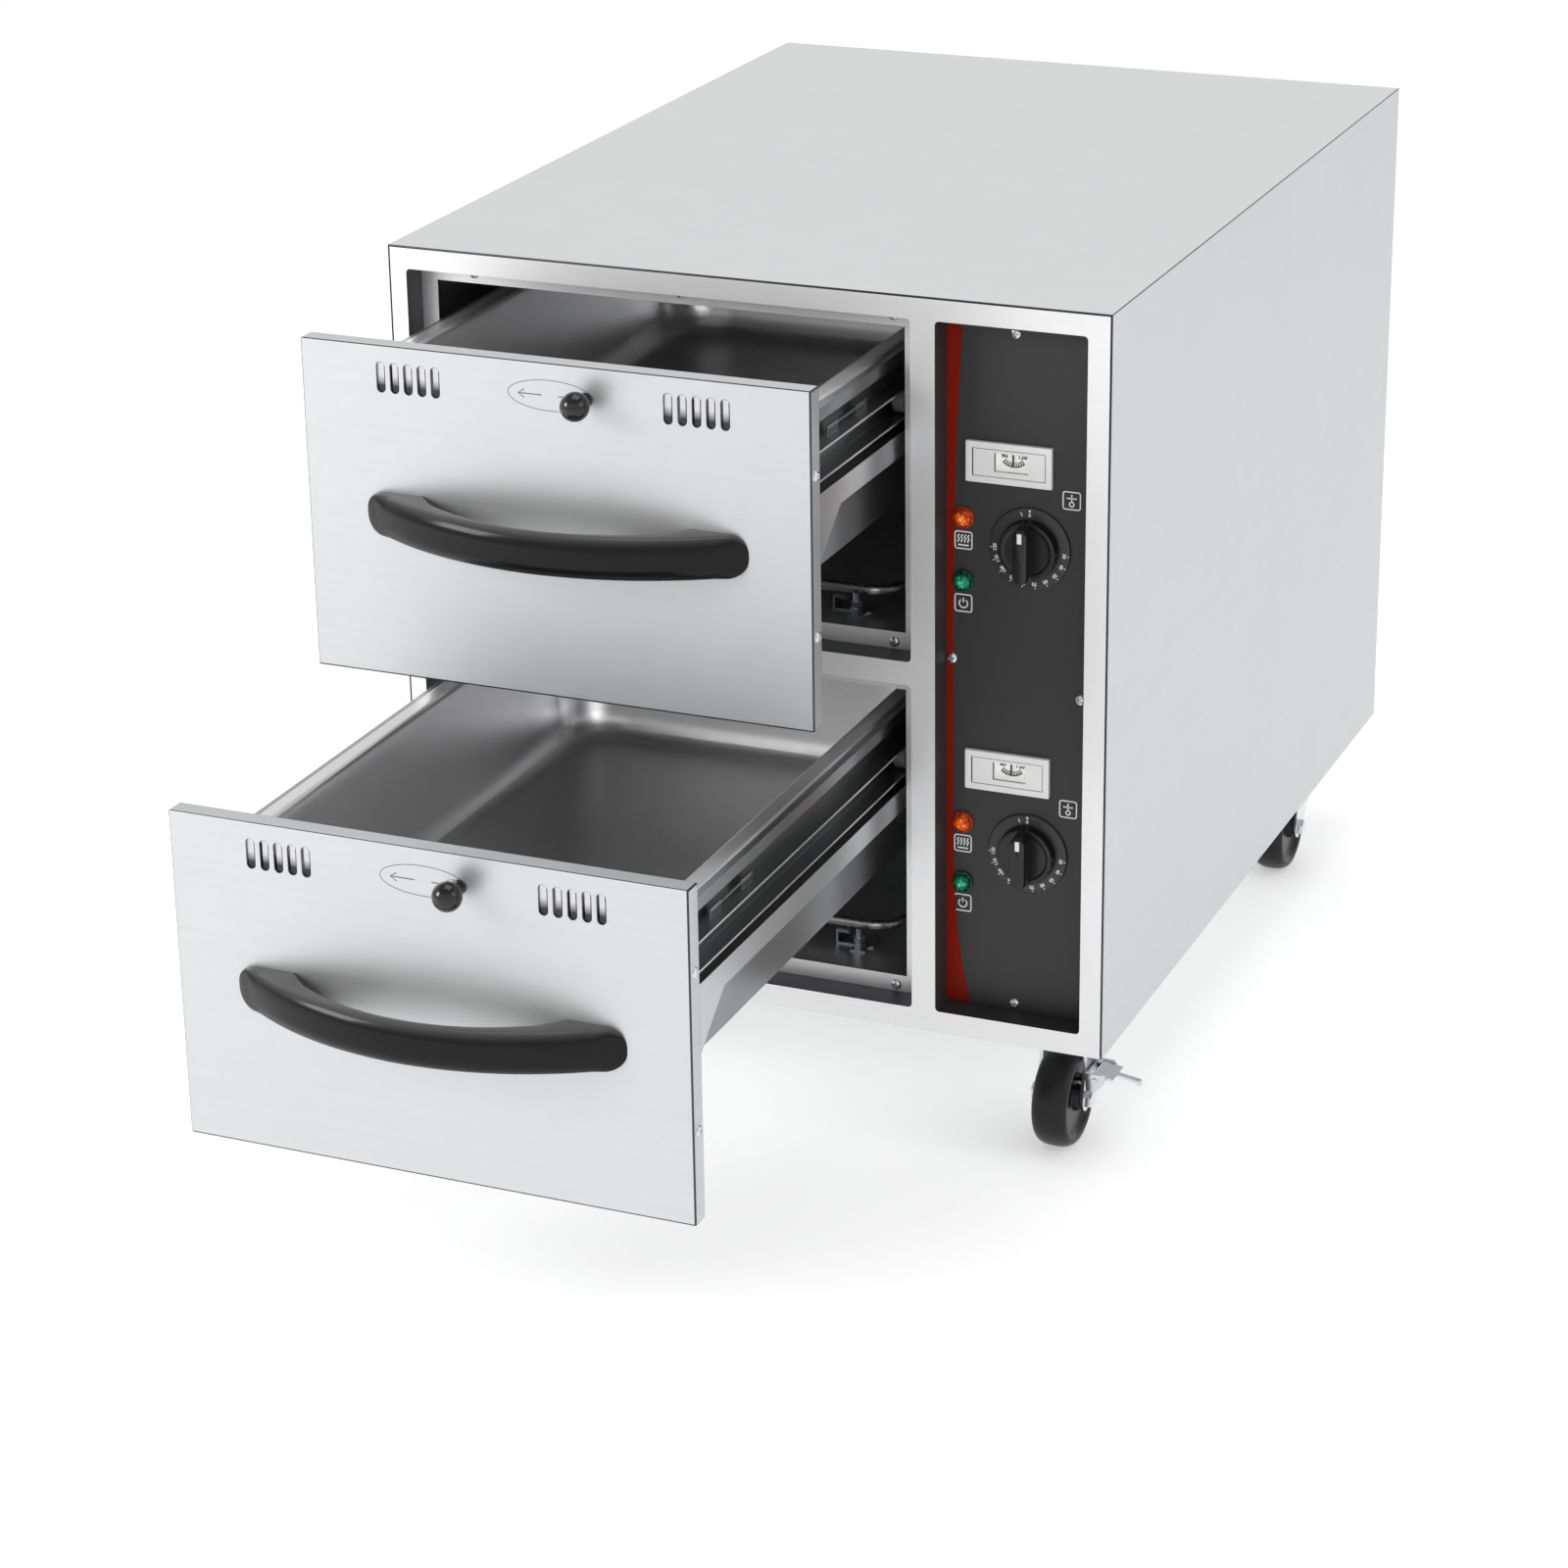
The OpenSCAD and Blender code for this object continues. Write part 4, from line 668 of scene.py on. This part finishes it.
def cross_screw(origin, axis, shank, turn=0.4):
    """Pan-head screw: height = head x (1 - (r / R)^2.6)^0.5, less a cross-shaped recess
    whose depth fades out with the distance from its two arms, then rim and shank."""
    radius, head, stem, recess, sides = 4.0, 2.0, 2.0, 1.15, 56
    rim = radius * np.array([0.75, 0.87, 0.95, 0.99, 1.0])
    r = np.concatenate([[0.0], np.linspace(0.25, radius * 0.62, 9), rim])[:, None]
    a = np.arange(sides) * 2 * np.pi / sides
    x, y = r * np.cos(a + turn), r * np.sin(a + turn)
    dome = head * np.sqrt(np.clip(1 - (r / radius) ** 2.6, 0, 1))
    arm = np.clip((0.62 - np.minimum(abs(x), abs(y))) / 0.25, 0, 1)
    height = dome - arm * np.clip((radius * 0.58 - r) / 0.3, 0, 1) * recess
    tail = np.array([[radius, 0.0], [stem, 0.0], [stem, -shank], [0.0, -shank]])
    radii = np.concatenate([r + 0 * x, tail[:, :1] + np.zeros((4, sides))])
    heights = np.concatenate([height, tail[:, 1:] + np.zeros((4, sides))])
    axis, u, v = crosswise(axis)
    ring = np.cos(a)[:, None] * u + np.sin(a)[:, None] * v
    points = heights[..., None] * axis + radii[..., None] * ring
    points = np.asarray(origin, float) + points * MM
    return points.reshape(-1, 3), quads(len(radii), sides, True)


# ---------------------------------------------------------------- drawers


def handle_surface(place):
    """Bowed grip. For each station x the front lies on one arc and the back on a second,
    flatter one between the feet; the height follows a pill seen from the front. The
    section is a rectangle whose corners are quarter ellipses, taller at the front."""
    half, reach, grip, foot, tall, edge = 141.0, 48.0, 14.0, 42.0, 15.0, 7.0
    gap_half, gap_deep = half - foot, reach - grip
    outer_r = (half**2 + reach**2) / (2 * reach)
    gap_r = (gap_half**2 + gap_deep**2) / (2 * gap_deep)
    x = half * np.sin(np.linspace(-1, 1, 181) * np.pi / 2)
    x = np.unique(np.concatenate([x, [-gap_half, gap_half]]))
    out = reach - outer_r + np.sqrt(outer_r**2 - x**2)
    back = gap_deep - gap_r + np.sqrt(np.clip(gap_r**2 - x**2, 0, None))
    back = np.where(abs(x) < gap_half, back, 0.0)
    end = np.clip(abs(x) - (half - tall + 1), 0, tall - 1)
    tall_here = 1 + np.sqrt((tall - 1) ** 2 - end**2)
    middle, deep = (out + back) / 2, (out - back) / 2
    round_out = np.minimum(np.minimum(edge, deep * 0.98), tall_here * 0.9)
    foot_share = np.clip((abs(x) - gap_half + 14) / 14, 0, 1)
    round_back = np.minimum(edge * (1 - foot_share) + 0.6 * foot_share, deep * 0.98)
    steps = 9
    a = np.concatenate([np.linspace(k, k + 1, steps) for k in range(4)]) * np.pi / 2
    sy = np.repeat([1, -1, -1, 1], steps)
    sz = np.repeat([1, 1, -1, -1], steps)
    r = np.where(sy > 0, round_out[:, None], round_back[:, None])
    rise = np.where(sy > 0, np.minimum(1.6 * r, 0.92 * tall_here[:, None]), r)
    depth = middle[:, None] + sy * (deep[:, None] - r) + r * np.cos(a)
    height = sz * (tall_here[:, None] - rise) + rise * np.sin(a)
    points = np.stack([x[:, None] + 0 * depth, -depth, height], -1) * MM
    return points.reshape(-1, 3) + at(place, z=-HANDLE_DROP), quads(len(x), 4 * steps, True)


def pan_surface(place):
    """Gastronorm pan: a line of (inset, height) from the middle of the floor up the wall to
    the rim and its turned-down lip, and the same line one sheet thickness to its inner
    side, joined at both ends. Both are lofted as rectangles whose corner radius follows
    the inset."""
    half_w, half_l, sheet = 325 / 2.0, 530 / 2.0, 1.0
    wall = eased([[150.0, -99.0], [31.5, -99.0], [23.2, -86.0], [13.5, -2.0], [12.0, 0.0],
                  [1.2, 0.0]], 9.0, 7)[:-2]
    line = np.concatenate([wall, eased([[10.5, 0.0], [0.9, 0.0], [0.2, -4.2]], 1.2, 4)])
    tangent = unit_rows(np.gradient(line, axis=0))
    inner = line + np.stack([-tangent[:, 1], tangent[:, 0]], 1) * -sheet
    inner[:, 0] = np.clip(inner[:, 0], 0.0, None)
    whole = np.concatenate([line, inner[::-1]])
    inset = whole[:, 0]
    r = np.interp(inset, [0, 3, 10.5, 24, 36, 150], [12, 14, 50, 42, 30, 6])
    r = np.minimum(r, half_w - inset - 0.01)
    x, y = ring_of(half_w - inset, half_l - inset, r, 12)
    return lofted(x, y, whole[:, 1], place, UP, (0, 1, 0))


def outermost(obj, middle):
    """Which faces of a pair of slides are the large upright ones furthest from a middle."""
    centres, normals = faces_of(obj)
    area = np.empty(len(normals))
    obj.data.polygons.foreach_get("area", area)
    reach = abs(centres[:, 0] - middle)
    is_large = (abs(normals[:, 0]) > 0.9) & (area > 500 * MM**2)
    return is_large & (reach > reach[is_large].max() - 1 * MM)


ball_neck = eased([[3.5, -1.3], [3.5, -0.9], [5.0, 0.0], [5.0, 1.6], [3.5, 2.2], [3.5, 8.0]],
                  0.5)
ball_turn = np.linspace(math.radians(-69.5), math.radians(90), 30)
ball = np.stack([10 * np.cos(ball_turn), 17 + 10 * np.sin(ball_turn)], 1)
ball_profile = np.concatenate([[[0, -1.3]], ball_neck[:-1], ball])

for level in LEVELS:
    place = drawer_place(level)
    body = level + "_drawer"
    # The front's rounded edges carry painted shade.
    softened(level + "_front_panel", 1.1, brushed, 3, outer=0.25,
             painted_edge_tone=edge_painted_shade)
    softened(level + "_inner_panel", 0.4, satin)
    softened(level + "_box", 0.45, box_steel)
    # The rails' rounded bends carry painted highlights.
    rails = softened(level + "_rails", 0.8, slide_steel, painted_edge_tone=slide_bends_painted_highlight)
    # The rails' outermost upright faces get the lighter copy as painted light.
    rails.data.materials.append(slide_lip_painted_light)
    set_materials(rails, outermost(rails, place[0]) * 2)
    shutter = softened(level + "_shutter", 0.2, shutter_painted_shade, 1).data
    # The height in the slots drives the shutter's painted reflection and shade.
    rise = (points_of(shutter)[:, 2] - place[2]) / MM
    set_values(shutter, "slot_height", (rise + VENT_DROP + SLOT_TALL / 2) / SLOT_TALL)
    softened(level + "_front_rollers", 0.25, nylon)
    softened(level + "_rear_rollers", 0.25, nylon)
    piece(level + "_bowed_handle", handle_surface(place), grip_black, body,
          [level + "_handle"], sharp=50)
    piece(level + "_ball_knob", turned(ball_profile, at(place, BALL_X, 0, -VENT_DROP), FRONT),
          gloss_black, level + "_shutter", [level + "_shutter_knob"])
    heads = [cross_screw(at(place, s * SIDE_SCREW_X, 7.5, -d), (s, 0, 0), 6, turn=0.3 + d)
             for s in (-1, 1) for d in SIDE_SCREW_DROPS]
    heads += [cross_screw(at(place, s * HANDLE_SCREW_X, 1.2, -HANDLE_DROP), (0, 1, 0), 13)
              for s in (-1, 1)]
    piece(level + "_cross_screws", merged(heads), screw_steel, body, [level + "_screws"],
          sharp=30)
    pan_low, pan_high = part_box(level + "_pan")
    pan_place = ((pan_low.x + pan_high.x) / 2, (pan_low.y + pan_high.y) / 2, pan_high.z)
    piece(level + "_food_pan", pan_surface(pan_place), pressed, level + "_pan",
          [level + "_pan"], sharp=50)
    mark = at(place, 0, -0.04, -VENT_DROP)
    lines = [ribbon(ellipse_path(31, 10.5), 0.55, mark, True)]
    for s in (-1, 1):
        lines.append(ribbon(sorted([[s * 6, 0], [s * 23, 0]]), 0.9, mark))
        tip = [[s * 19.0, 3.0], [s * 23.6, 0], [s * 19.0, -3.0]]
        lines.append(ribbon(tip[::s], 0.9, mark))
    piece(level + "_slide_mark", merged(lines), grey_print_and_shade, body,
          recalc=False)


# ---------------------------------------------------------------- cabinet


def within(centres, node, margin):
    """Which centres lie in a node's box seen from the front, widened by millimetres."""
    low, high = (np.array(c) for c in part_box(node))
    inside = (centres > low - margin * MM) & (centres < high + margin * MM)
    return inside[:, [0, 2]].all(1)


# The casing's rounded edges carry painted shade.
casing = softened("outer_casing", 0.6, brushed, 2, painted_edge_tone=edge_painted_shade)
# The roof's faces get the paler copy as painted light.
casing.data.materials.append(roof_painted_light)
is_roof = faces_of(casing)[1][:, 2] > 0.9
set_materials(casing, is_roof * 2)

# The front frame takes the paler copy of the brushed sheet as painted light.
surround = softened("front_frame", 0.4, frame_steel_painted_light, 2)
surround.data.materials.append(lip_steel)
surround.data.materials.append(charcoal)
centres, normals = faces_of(surround)
# Painted shade on the frame's returns: they take the dark steel copy.
is_return = (abs(normals[:, 1]) < 0.5) & within(centres, "front_frame", -2)
# Returns beside the control panel take charcoal as painted shade.
set_materials(surround, is_return * (1 + within(centres, "control_panel", 3)))
softened("back_panel", 0.3, brushed, 1)
softened("base_pan", 0.3, brushed, 1)
for level in LEVELS:
    liner = softened(level + "_liner", 0.4, satin)
    # The liner flanges take the paler copy as painted light.
    liner.data.materials.append(frame_steel_painted_light)
    centres, normals = faces_of(liner)
    is_flange = (normals[:, 1] < -0.9) & (centres[:, 1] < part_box(level + "_liner")[0].y + 1 * MM)
    set_materials(liner, is_flange)
# The cabinet rails' rounded bends carry painted highlights.
softened("cabinet_rails", 0.8, slide_steel, painted_edge_tone=slide_bends_painted_highlight)
softened("element_brackets", 0.3, zinc, 1)
softened("control_panel", 0.3, charcoal, 1)
softened("cable_gland", 0.6, knob_black)
for node, material in (("divider_wall", satin), ("insulation", wool), ("thermostats", zinc),
                       ("heating_elements", sheath), ("sensing_bulbs", zinc),
                       ("terminal_block", pale_plastic), ("thermometer_windows", glass)):
    plain(node, material)

heads = []
for level in LEVELS:
    low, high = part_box(level + "_front_panel")
    x = (low.x + high.x) / 2
    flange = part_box(level + "_liner")[0].y
    spots = [(dx, high.z + 1 * MM) for dx in FLANGE_SCREWS_ABOVE]
    for dx, z in (*spots, (FLANGE_SCREW_BELOW, low.z - 1 * MM)):
        heads.append(cross_screw((x + dx * MM, flange, z), FRONT, 8, turn=dx))
panel_low, panel_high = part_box("control_panel")
corner = at(panel_low, 4, 0, 4)
for k, (dx, dz) in enumerate(PANEL_SCREWS):
    heads.append(cross_screw(at(corner, dx, 0, dz), FRONT, 8, turn=k * 0.7))
piece("cabinet_cross_screws", merged(heads), screw_steel, "cabinet", ["cabinet_screws"],
      sharp=30)


# ---------------------------------------------------------------- controls


def stripe_surface(corner, tall):
    """Stripe up the panel's left edge. Its width runs through eight values up the panel,
    evened by a moving average, and its section is a thin flat bar."""
    z = np.linspace(0, 1, 121)
    w = np.interp(z, [0, 0.05, 0.13, 0.24, 0.6, 0.8, 0.9, 1],
                  [18, 12, 7.2, 5, 5, 6.6, 8.8, 11.5])
    padded = np.concatenate([2 * w[0] - w[8:0:-1], w, 2 * w[-1] - w[-2:-10:-1]])
    w = np.convolve(padded, np.ones(9) / 9, "same")[8:-8]
    ring = np.array([[0.0, 0.0], [0.0, -0.4], [1.0, -0.4], [1.0, 0.0]])
    points = np.zeros((len(z), 4, 3))
    points[..., 0] = 0.1 + ring[:, 0] * w[:, None]
    points[..., 1] = ring[:, 1]
    points[..., 2] = 0.5 + z[:, None] * tall
    last = 4 * (len(z) - 1)
    caps = [[0, 1, 2, 3], [last, last + 1, last + 2, last + 3]]
    return points.reshape(-1, 3) * MM + corner, quads(len(z), 4, True) + caps


def bezel_surface(place):
    """Thermometer front: round-cornered rings from the panel up over a soft edge, across
    a rim and down a step to a flat field."""
    half_w, half_h = 31.25, 14.55
    line = eased([[0, 0], [0, 3.35], [4.3, 3.35], [4.6, 2.9], [5.2, 2.9]], 0.3, 3)
    inset, height = line.T
    x, y = ring_of(half_h - inset, half_w - inset, np.clip(1.6 - inset * 0.3, 0.4, 2), 6)
    points = lofted(x, y, height, place, FRONT, RIGHT)[0]
    return points, quads(len(line), x.shape[1], True)


def dial_printing(dial):
    """Figures and ticks round the dial, and a dot, a zero and a slanted tick at its top."""
    size, figures_at, tick_from, tick_to = 3.6, 25.2, 28.9, 27.3
    first_turn, step_turn, first_figure, step_figure = 95, 19.1, 30, 10
    face = at(dial, 0, -2.06)
    parts = [disc(0.9, at(face, 0, 0, tick_to), 16), lettering("0", size, at(face, 0, 0, 24.2)),
             ribbon([[-6.6, 26.0], [-5.4, 23.2]], 0.7, face)]
    for k in range(10):
        text, turn = str(first_figure + step_figure * k), math.radians(first_turn + k * step_turn)
        s, c = math.sin(turn), math.cos(turn)
        parts.append(lettering(text, size, at(face, figures_at * s, 0, figures_at * c), turn))
        tick = [[tick_from * s, tick_from * c], [tick_to * s, tick_to * c]]
        parts.append(ribbon(tick, 0.5, face))
    return parts


def sign_printing(heat, power, gauge):
    """Three generic signs: four waves over a bar for heat, an open ring with a stroke for
    power, and a bulb with a crossed stem for the temperature."""
    z = np.linspace(4.2, -1.6, 15)
    wave = np.stack([0.5 * np.sin(z * 1.9), z], 1)
    parts = [ribbon(wave + [x, 0], 0.95, heat) for x in (-3.6, -1.2, 1.2, 3.6)]
    parts.append(ribbon([[-4.0, -3.6], [4.0, -3.6]], 1.1, heat))
    parts.append(ribbon(ellipse_path(3.1, 3.1, 125, 415, 30) - [0, 0.3], 0.95, power))
    parts.append(ribbon([[0, 0.4], [0, 3.9]], 0.95, power))
    parts.append(ribbon([[-3.6, 1.6], [3.6, 1.6]], 0.9, gauge))
    parts.append(ribbon([[0, 4.4], [0, -1.0]], 1.0, gauge))
    parts.append(ribbon(ellipse_path(1.6, 1.6, 0, 350, 20) + [0, -2.6], 0.9, gauge, True))
    return parts


def scale_printing(card, front):
    """Ticks, an arc and two figures on a thermometer's card about its needle's pivot, and a
    printed rectangle in front of it, whose heavier left bar is a painted shadow of the
    window's edge."""
    near, far, reach = 8.6, 11.8, 42
    parts = []
    for k in range(-4, 5):
        s, c = math.sin(math.radians(10 * k)), math.cos(math.radians(10 * k))
        parts.append(ribbon([[near * s, -near * c], [far * s, -far * c]], 0.85, card))
    arc = np.radians(np.linspace(-reach, reach, 24)) - np.pi / 2
    parts.append(ribbon(np.stack([far * np.cos(arc), far * np.sin(arc)], 1), 0.8, card))
    rim = np.array([[-26.4, -9.7], [26.4, -9.7], [26.4, 9.7], [-26.4, 9.7]])
    parts += [ribbon(ends, 0.35, front) for ends in zip(rim, np.roll(rim, -1, 0))]
    # The heavier left bar is a painted shadow of the window's edge.
    parts.append(ribbon([[-26.2, -9.5], [-26.2, 9.5]], 0.9, front))
    for text, x in (("60", -6.6), ("120", 6.2)):
        parts.append(lettering(text, 4.6, at(card, x, 0, -4.0)))
    return parts


stripe_tall = (panel_high.z - panel_low.z) / MM - 9
piece("panel_edge_stripe", stripe_surface(corner, stripe_tall), stripe_red, "cabinet",
      ["panel_stripe"], sharp=30)

ring_profile = eased([[5.2, -0.1], [5.2, 2.0], [28.8, 2.0], [29.5, 1.5], [29.5, 0.0], [5.2, 0.0]],
                     0.4, 3)
skirt = eased([[0, 2.3], [21.2, 2.3], [21.5, 3.0], [20.6, 9.3], [17.5, 9.3], [16.5, 8.8],
               [0, 8.8]], 0.8, 4)
knob_bar = np.array([[5.5, 6.0, 20.8, 5.4], [17, 5.7, 19.8, 5.2], [19.6, 5.5, 19.5, 5.0],
                     [20.6, 5.0, 19.0, 4.6], [21, 4.0, 18.0, 3.8]]).T
lamp_line = eased([[LAMP_RADIUS, 0.0], [LAMP_RADIUS, 2.4], [6.9, 2.6]], 0.5, 3)
dome_line = [[6.75, 2.6], [6.0, 4.1], [4.2, 5.6], [2.0, 6.3], [0.0, 6.3]]
lamp_body = [[0, -18], [5.5, -18], [5.5, -4.5], [8, -4.5], [8, -1.5], [5.5, -1.5], [5.5, 0]]
lamp_profile = np.concatenate([lamp_body, lamp_line])
icon_square = np.stack(ring_of([6.2], [6.2], [1.6], 5), -1)[0]

rings, prints, fields, lamps = [], [], [], {kind: [] for kind in LAMP_Z}
for level in LEVELS:
    dial = dial_place(level)
    rings.append(turned(ring_profile, dial, FRONT, 96))
    height, half_x, half_z, corner_r = knob_bar
    z, x = ring_of(half_z, half_x, corner_r, 8)
    bar = lofted(x, z, 2.3 + height, dial, FRONT, UP)
    shaft = turned([[0, 8], [3, 8], [3, -22], [0, -22]], dial, FRONT, 24)
    piece(level + "_thermostat_knob", merged([turned(skirt, dial, FRONT, 96), bar, shaft]),
          knob_black, level + "_knob", [level + "_knob"], sharp=35)
    pointer = ribbon([[0, 10.2], [0, 17.4]], 3.2, at(dial, 0, -23.35))
    piece(level + "_pointer", pointer, print_white, level + "_knob",
          recalc=False)
    prints += dial_printing(dial)
    for kind, dz in LAMP_Z.items():
        lamps[kind].append(turned(lamp_profile, at(dial, LAMP_X, 0, dz), FRONT, 40))
        lamps[kind].append(turned(dome_line, at(dial, LAMP_X, 0, dz), FRONT, 9))
    # Each of the three signs stands in a square on a black field.
    signs = [at(dial, dx, -0.06, dz) for dx, dz in ICONS]
    for sign in signs:
        prints.append(ribbon(icon_square, 0.9, sign, True))
        field = np.insert(icon_square, 1, 0, 1) * MM + at(sign, 0, 0.03)
        fields.append((field, [list(range(len(field)))]))
    prints += sign_printing(*signs)
    centre = at(dial, THERMOMETER_X, 0, THERMOMETER_Z)
    piece(level + "_thermometer_frame", bezel_surface(centre), white_plastic, "cabinet",
          recalc=False, sharp=30)
    low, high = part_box(level + "_needle")
    pivot = at(((low.x + high.x) / 2, low.y, high.z), 0, 0, -1.5)
    scale = scale_printing(at(pivot, 0, 1.6, 0), at(centre, 0, -3.05, 0))
    piece(level + "_thermometer_scale", merged(scale), print_black, "cabinet",
          recalc=False)
    plain(level + "_needle", print_black)

cases = softened("thermometer_cases", 0.25, white_plastic, 1)
# The card faces take the card finish with its painted glow.
cases.data.materials.append(scale_card_painted_glow)
cases.data.materials.append(grey_print_and_shade)
centres, normals = faces_of(cases)
window_low, window_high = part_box("thermometer_windows")
is_card = (normals[:, 1] < -0.9) & (centres[:, 1] > window_high.y)
# The window's left reveal gets the grey line finish as painted shade.
is_reveal = (normals[:, 0] > 0.9) & (abs(centres[:, 0] - window_low.x) < 1 * MM)
set_materials(cases, is_card * 1 + is_reveal * 2)
piece("numbered_rings", merged(rings), ring_black, "cabinet", ["dial_rings"],
      sharp=30)
for kind, colour, slot in (("heat", orange_lens, "orange_lens"),
                           ("power", green_lens, "green_lens")):
    lamp = piece(kind + "_lamp_lenses", merged(lamps[kind]), colour, "cabinet",
                 [kind + "_lamps"], sharp=20).data
    axes = np.array([at(dial_place(level), LAMP_X, 0, LAMP_Z[kind]) for level in LEVELS])
    away = (points_of(lamp)[:, None] - axes)[..., [0, 2]]
    reach = np.linalg.norm(away, axis=2).min(1) / (LAMP_RADIUS * MM)
    set_values(lamp, "from_axis", np.clip(reach, 0, 1))
piece("icon_fields", merged(fields), print_black, "cabinet", recalc=False)
piece("panel_printing", merged(prints), print_white, "cabinet",
      recalc=False)

# ---------------------------------------------------------------- casters


def wheel_surface(centre):
    """Wheel turned about its axle: hub boss, dished web, side wall and a tread whose
    radius is 31 + 6.48 x (1 - |h / 13.5|^2.6)^0.5, mirrored about the middle."""
    h = 13.5 * np.sin(np.linspace(-1, 1, 41) * np.pi / 2)
    tread = np.stack([31 + 6.48 * np.sqrt(np.clip(1 - abs(h / 13.5) ** 2.6, 0, 1)), h], 1)
    side = eased([[4.05, -15.0], [9.0, -15.0], [10.0, -9.5], [25.5, -9.5], [28.5, -13.0],
                  [31.0, -13.5]], 0.9, 4)
    profile = np.concatenate([side[:-1], tread, (side * [1, -1])[::-1][1:], side[:1]])
    return turned(profile, centre, RIGHT, 96)


CORE_RADIUS = 28
for end in ("front", "rear"):
    for side in SIDES:
        name = f"{end}_{side}"
        softened(name + "_fork", 0.5, caster_steel)
        low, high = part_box(name + "_wheel")
        middle = np.array((low + high) / 2)
        wheel = piece(name + "_rubber_wheel", wheel_surface(middle), rubber, name + "_wheel",
                      [name + "_wheel"], sharp=35)
        wheel.data.materials.append(wheel_core)
        offset = (faces_of(wheel)[0] - middle)[:, 1:]
        set_materials(wheel, np.linalg.norm(offset, axis=1) < CORE_RADIUS * MM)
softened("caster_plates", 0.5, caster_steel)
for side in SIDES:
    softened(side + "_brake_lever", 0.6, caster_steel)

# ---------------------------------------------------------------- stage

floor_mesh = bpy.data.meshes.new("studio_floor")
floor_mesh.from_pydata([(-9, -9, 0), (9, -9, 0), (9, 9, 0), (-9, 9, 0)], [], [(0, 1, 2, 3)])
floor = put("studio_floor", floor_mesh)
paper, _, shader = new_material("white_paper")
for label, value in (("Base Color", (0.92, 0.92, 0.92, 1)), ("Roughness", 0.9),
                     ("Specular IOR Level", 0.1), ("Emission Color", (1, 1, 1, 1)),
                     ("Emission Strength", 0.36)):
    shader.inputs[label].default_value = value
floor_mesh.materials.append(paper)

world = bpy.data.worlds.new("studio")
bpy.context.scene.world = world
world.use_nodes = True
sky = world.node_tree
ray = sky.nodes.new("ShaderNodeTexCoord")
split = sky.nodes.new("ShaderNodeSeparateXYZ")
sky.links.new(ray.outputs["Generated"], split.inputs[0])
room = colour_ramp(sky, split.outputs["Z"], (0.0, (0.95, 0.95, 0.95)), (0.5, (0.92, 0.92, 0.92)),
                   (0.75, (0.42, 0.42, 0.43)), (1.0, (0.5, 0.5, 0.51)))
sky.links.new(room, sky.nodes["Background"].inputs["Color"])
sky.nodes["Background"].inputs["Strength"].default_value = 1.0


def aim(obj, right, up, back, place):
    """Sets an object's three axes and its place."""
    axes = np.column_stack([right, up, back, place])
    obj.matrix_world = Matrix(np.vstack([axes, [0, 0, 0, 1]]).tolist())


def soft_light(name, place, target, size, power):
    """Square area light at a place, turned towards a target."""
    data = bpy.data.lights.new(name, "AREA")
    data.size, data.energy = size, power
    back, u, v = crosswise(np.asarray(place, float) - np.asarray(target, float))
    aim(put(name, data), u, v, back, place)


soft_light("key_softbox", (-2.6, -2.3, 1.7), (0, -0.3, 0.4), 1.3, 55)
soft_light("overhead_softbox", (0.2, 0.2, 3.4), (0, 0, 0.5), 2.2, 26)
soft_light("side_softbox", (2.8, -0.6, 2.0), (0, 0, 0.4), 1.6, 10)

# The camera was fitted to the photograph from the cabinet's and drawers' edges.
azimuth, elevation, roll = 0.394242, 0.371541, 0.0115786
camera_place = (1.097289, -2.66318, 1.37369)
ahead = np.array([-math.sin(azimuth) * math.cos(elevation),
                  math.cos(azimuth) * math.cos(elevation), -math.sin(elevation)])
right = unit(np.cross(ahead, UP))
down = np.cross(ahead, right)
right, down = (math.cos(roll) * right + math.sin(roll) * down,
               math.cos(roll) * down - math.sin(roll) * right)
camera_data = bpy.data.cameras.new("camera")
camera = put("camera", camera_data)
aim(camera, right, -down, -ahead, camera_place)
camera_data.sensor_width = 36
camera_data.lens = 94.316
camera_data.shift_x, camera_data.shift_y = -0.02337, -0.03475
camera_data.clip_start, camera_data.clip_end = 0.05, 40
bpy.context.scene.camera = camera
bpy.context.scene.view_settings.view_transform = "Standard"
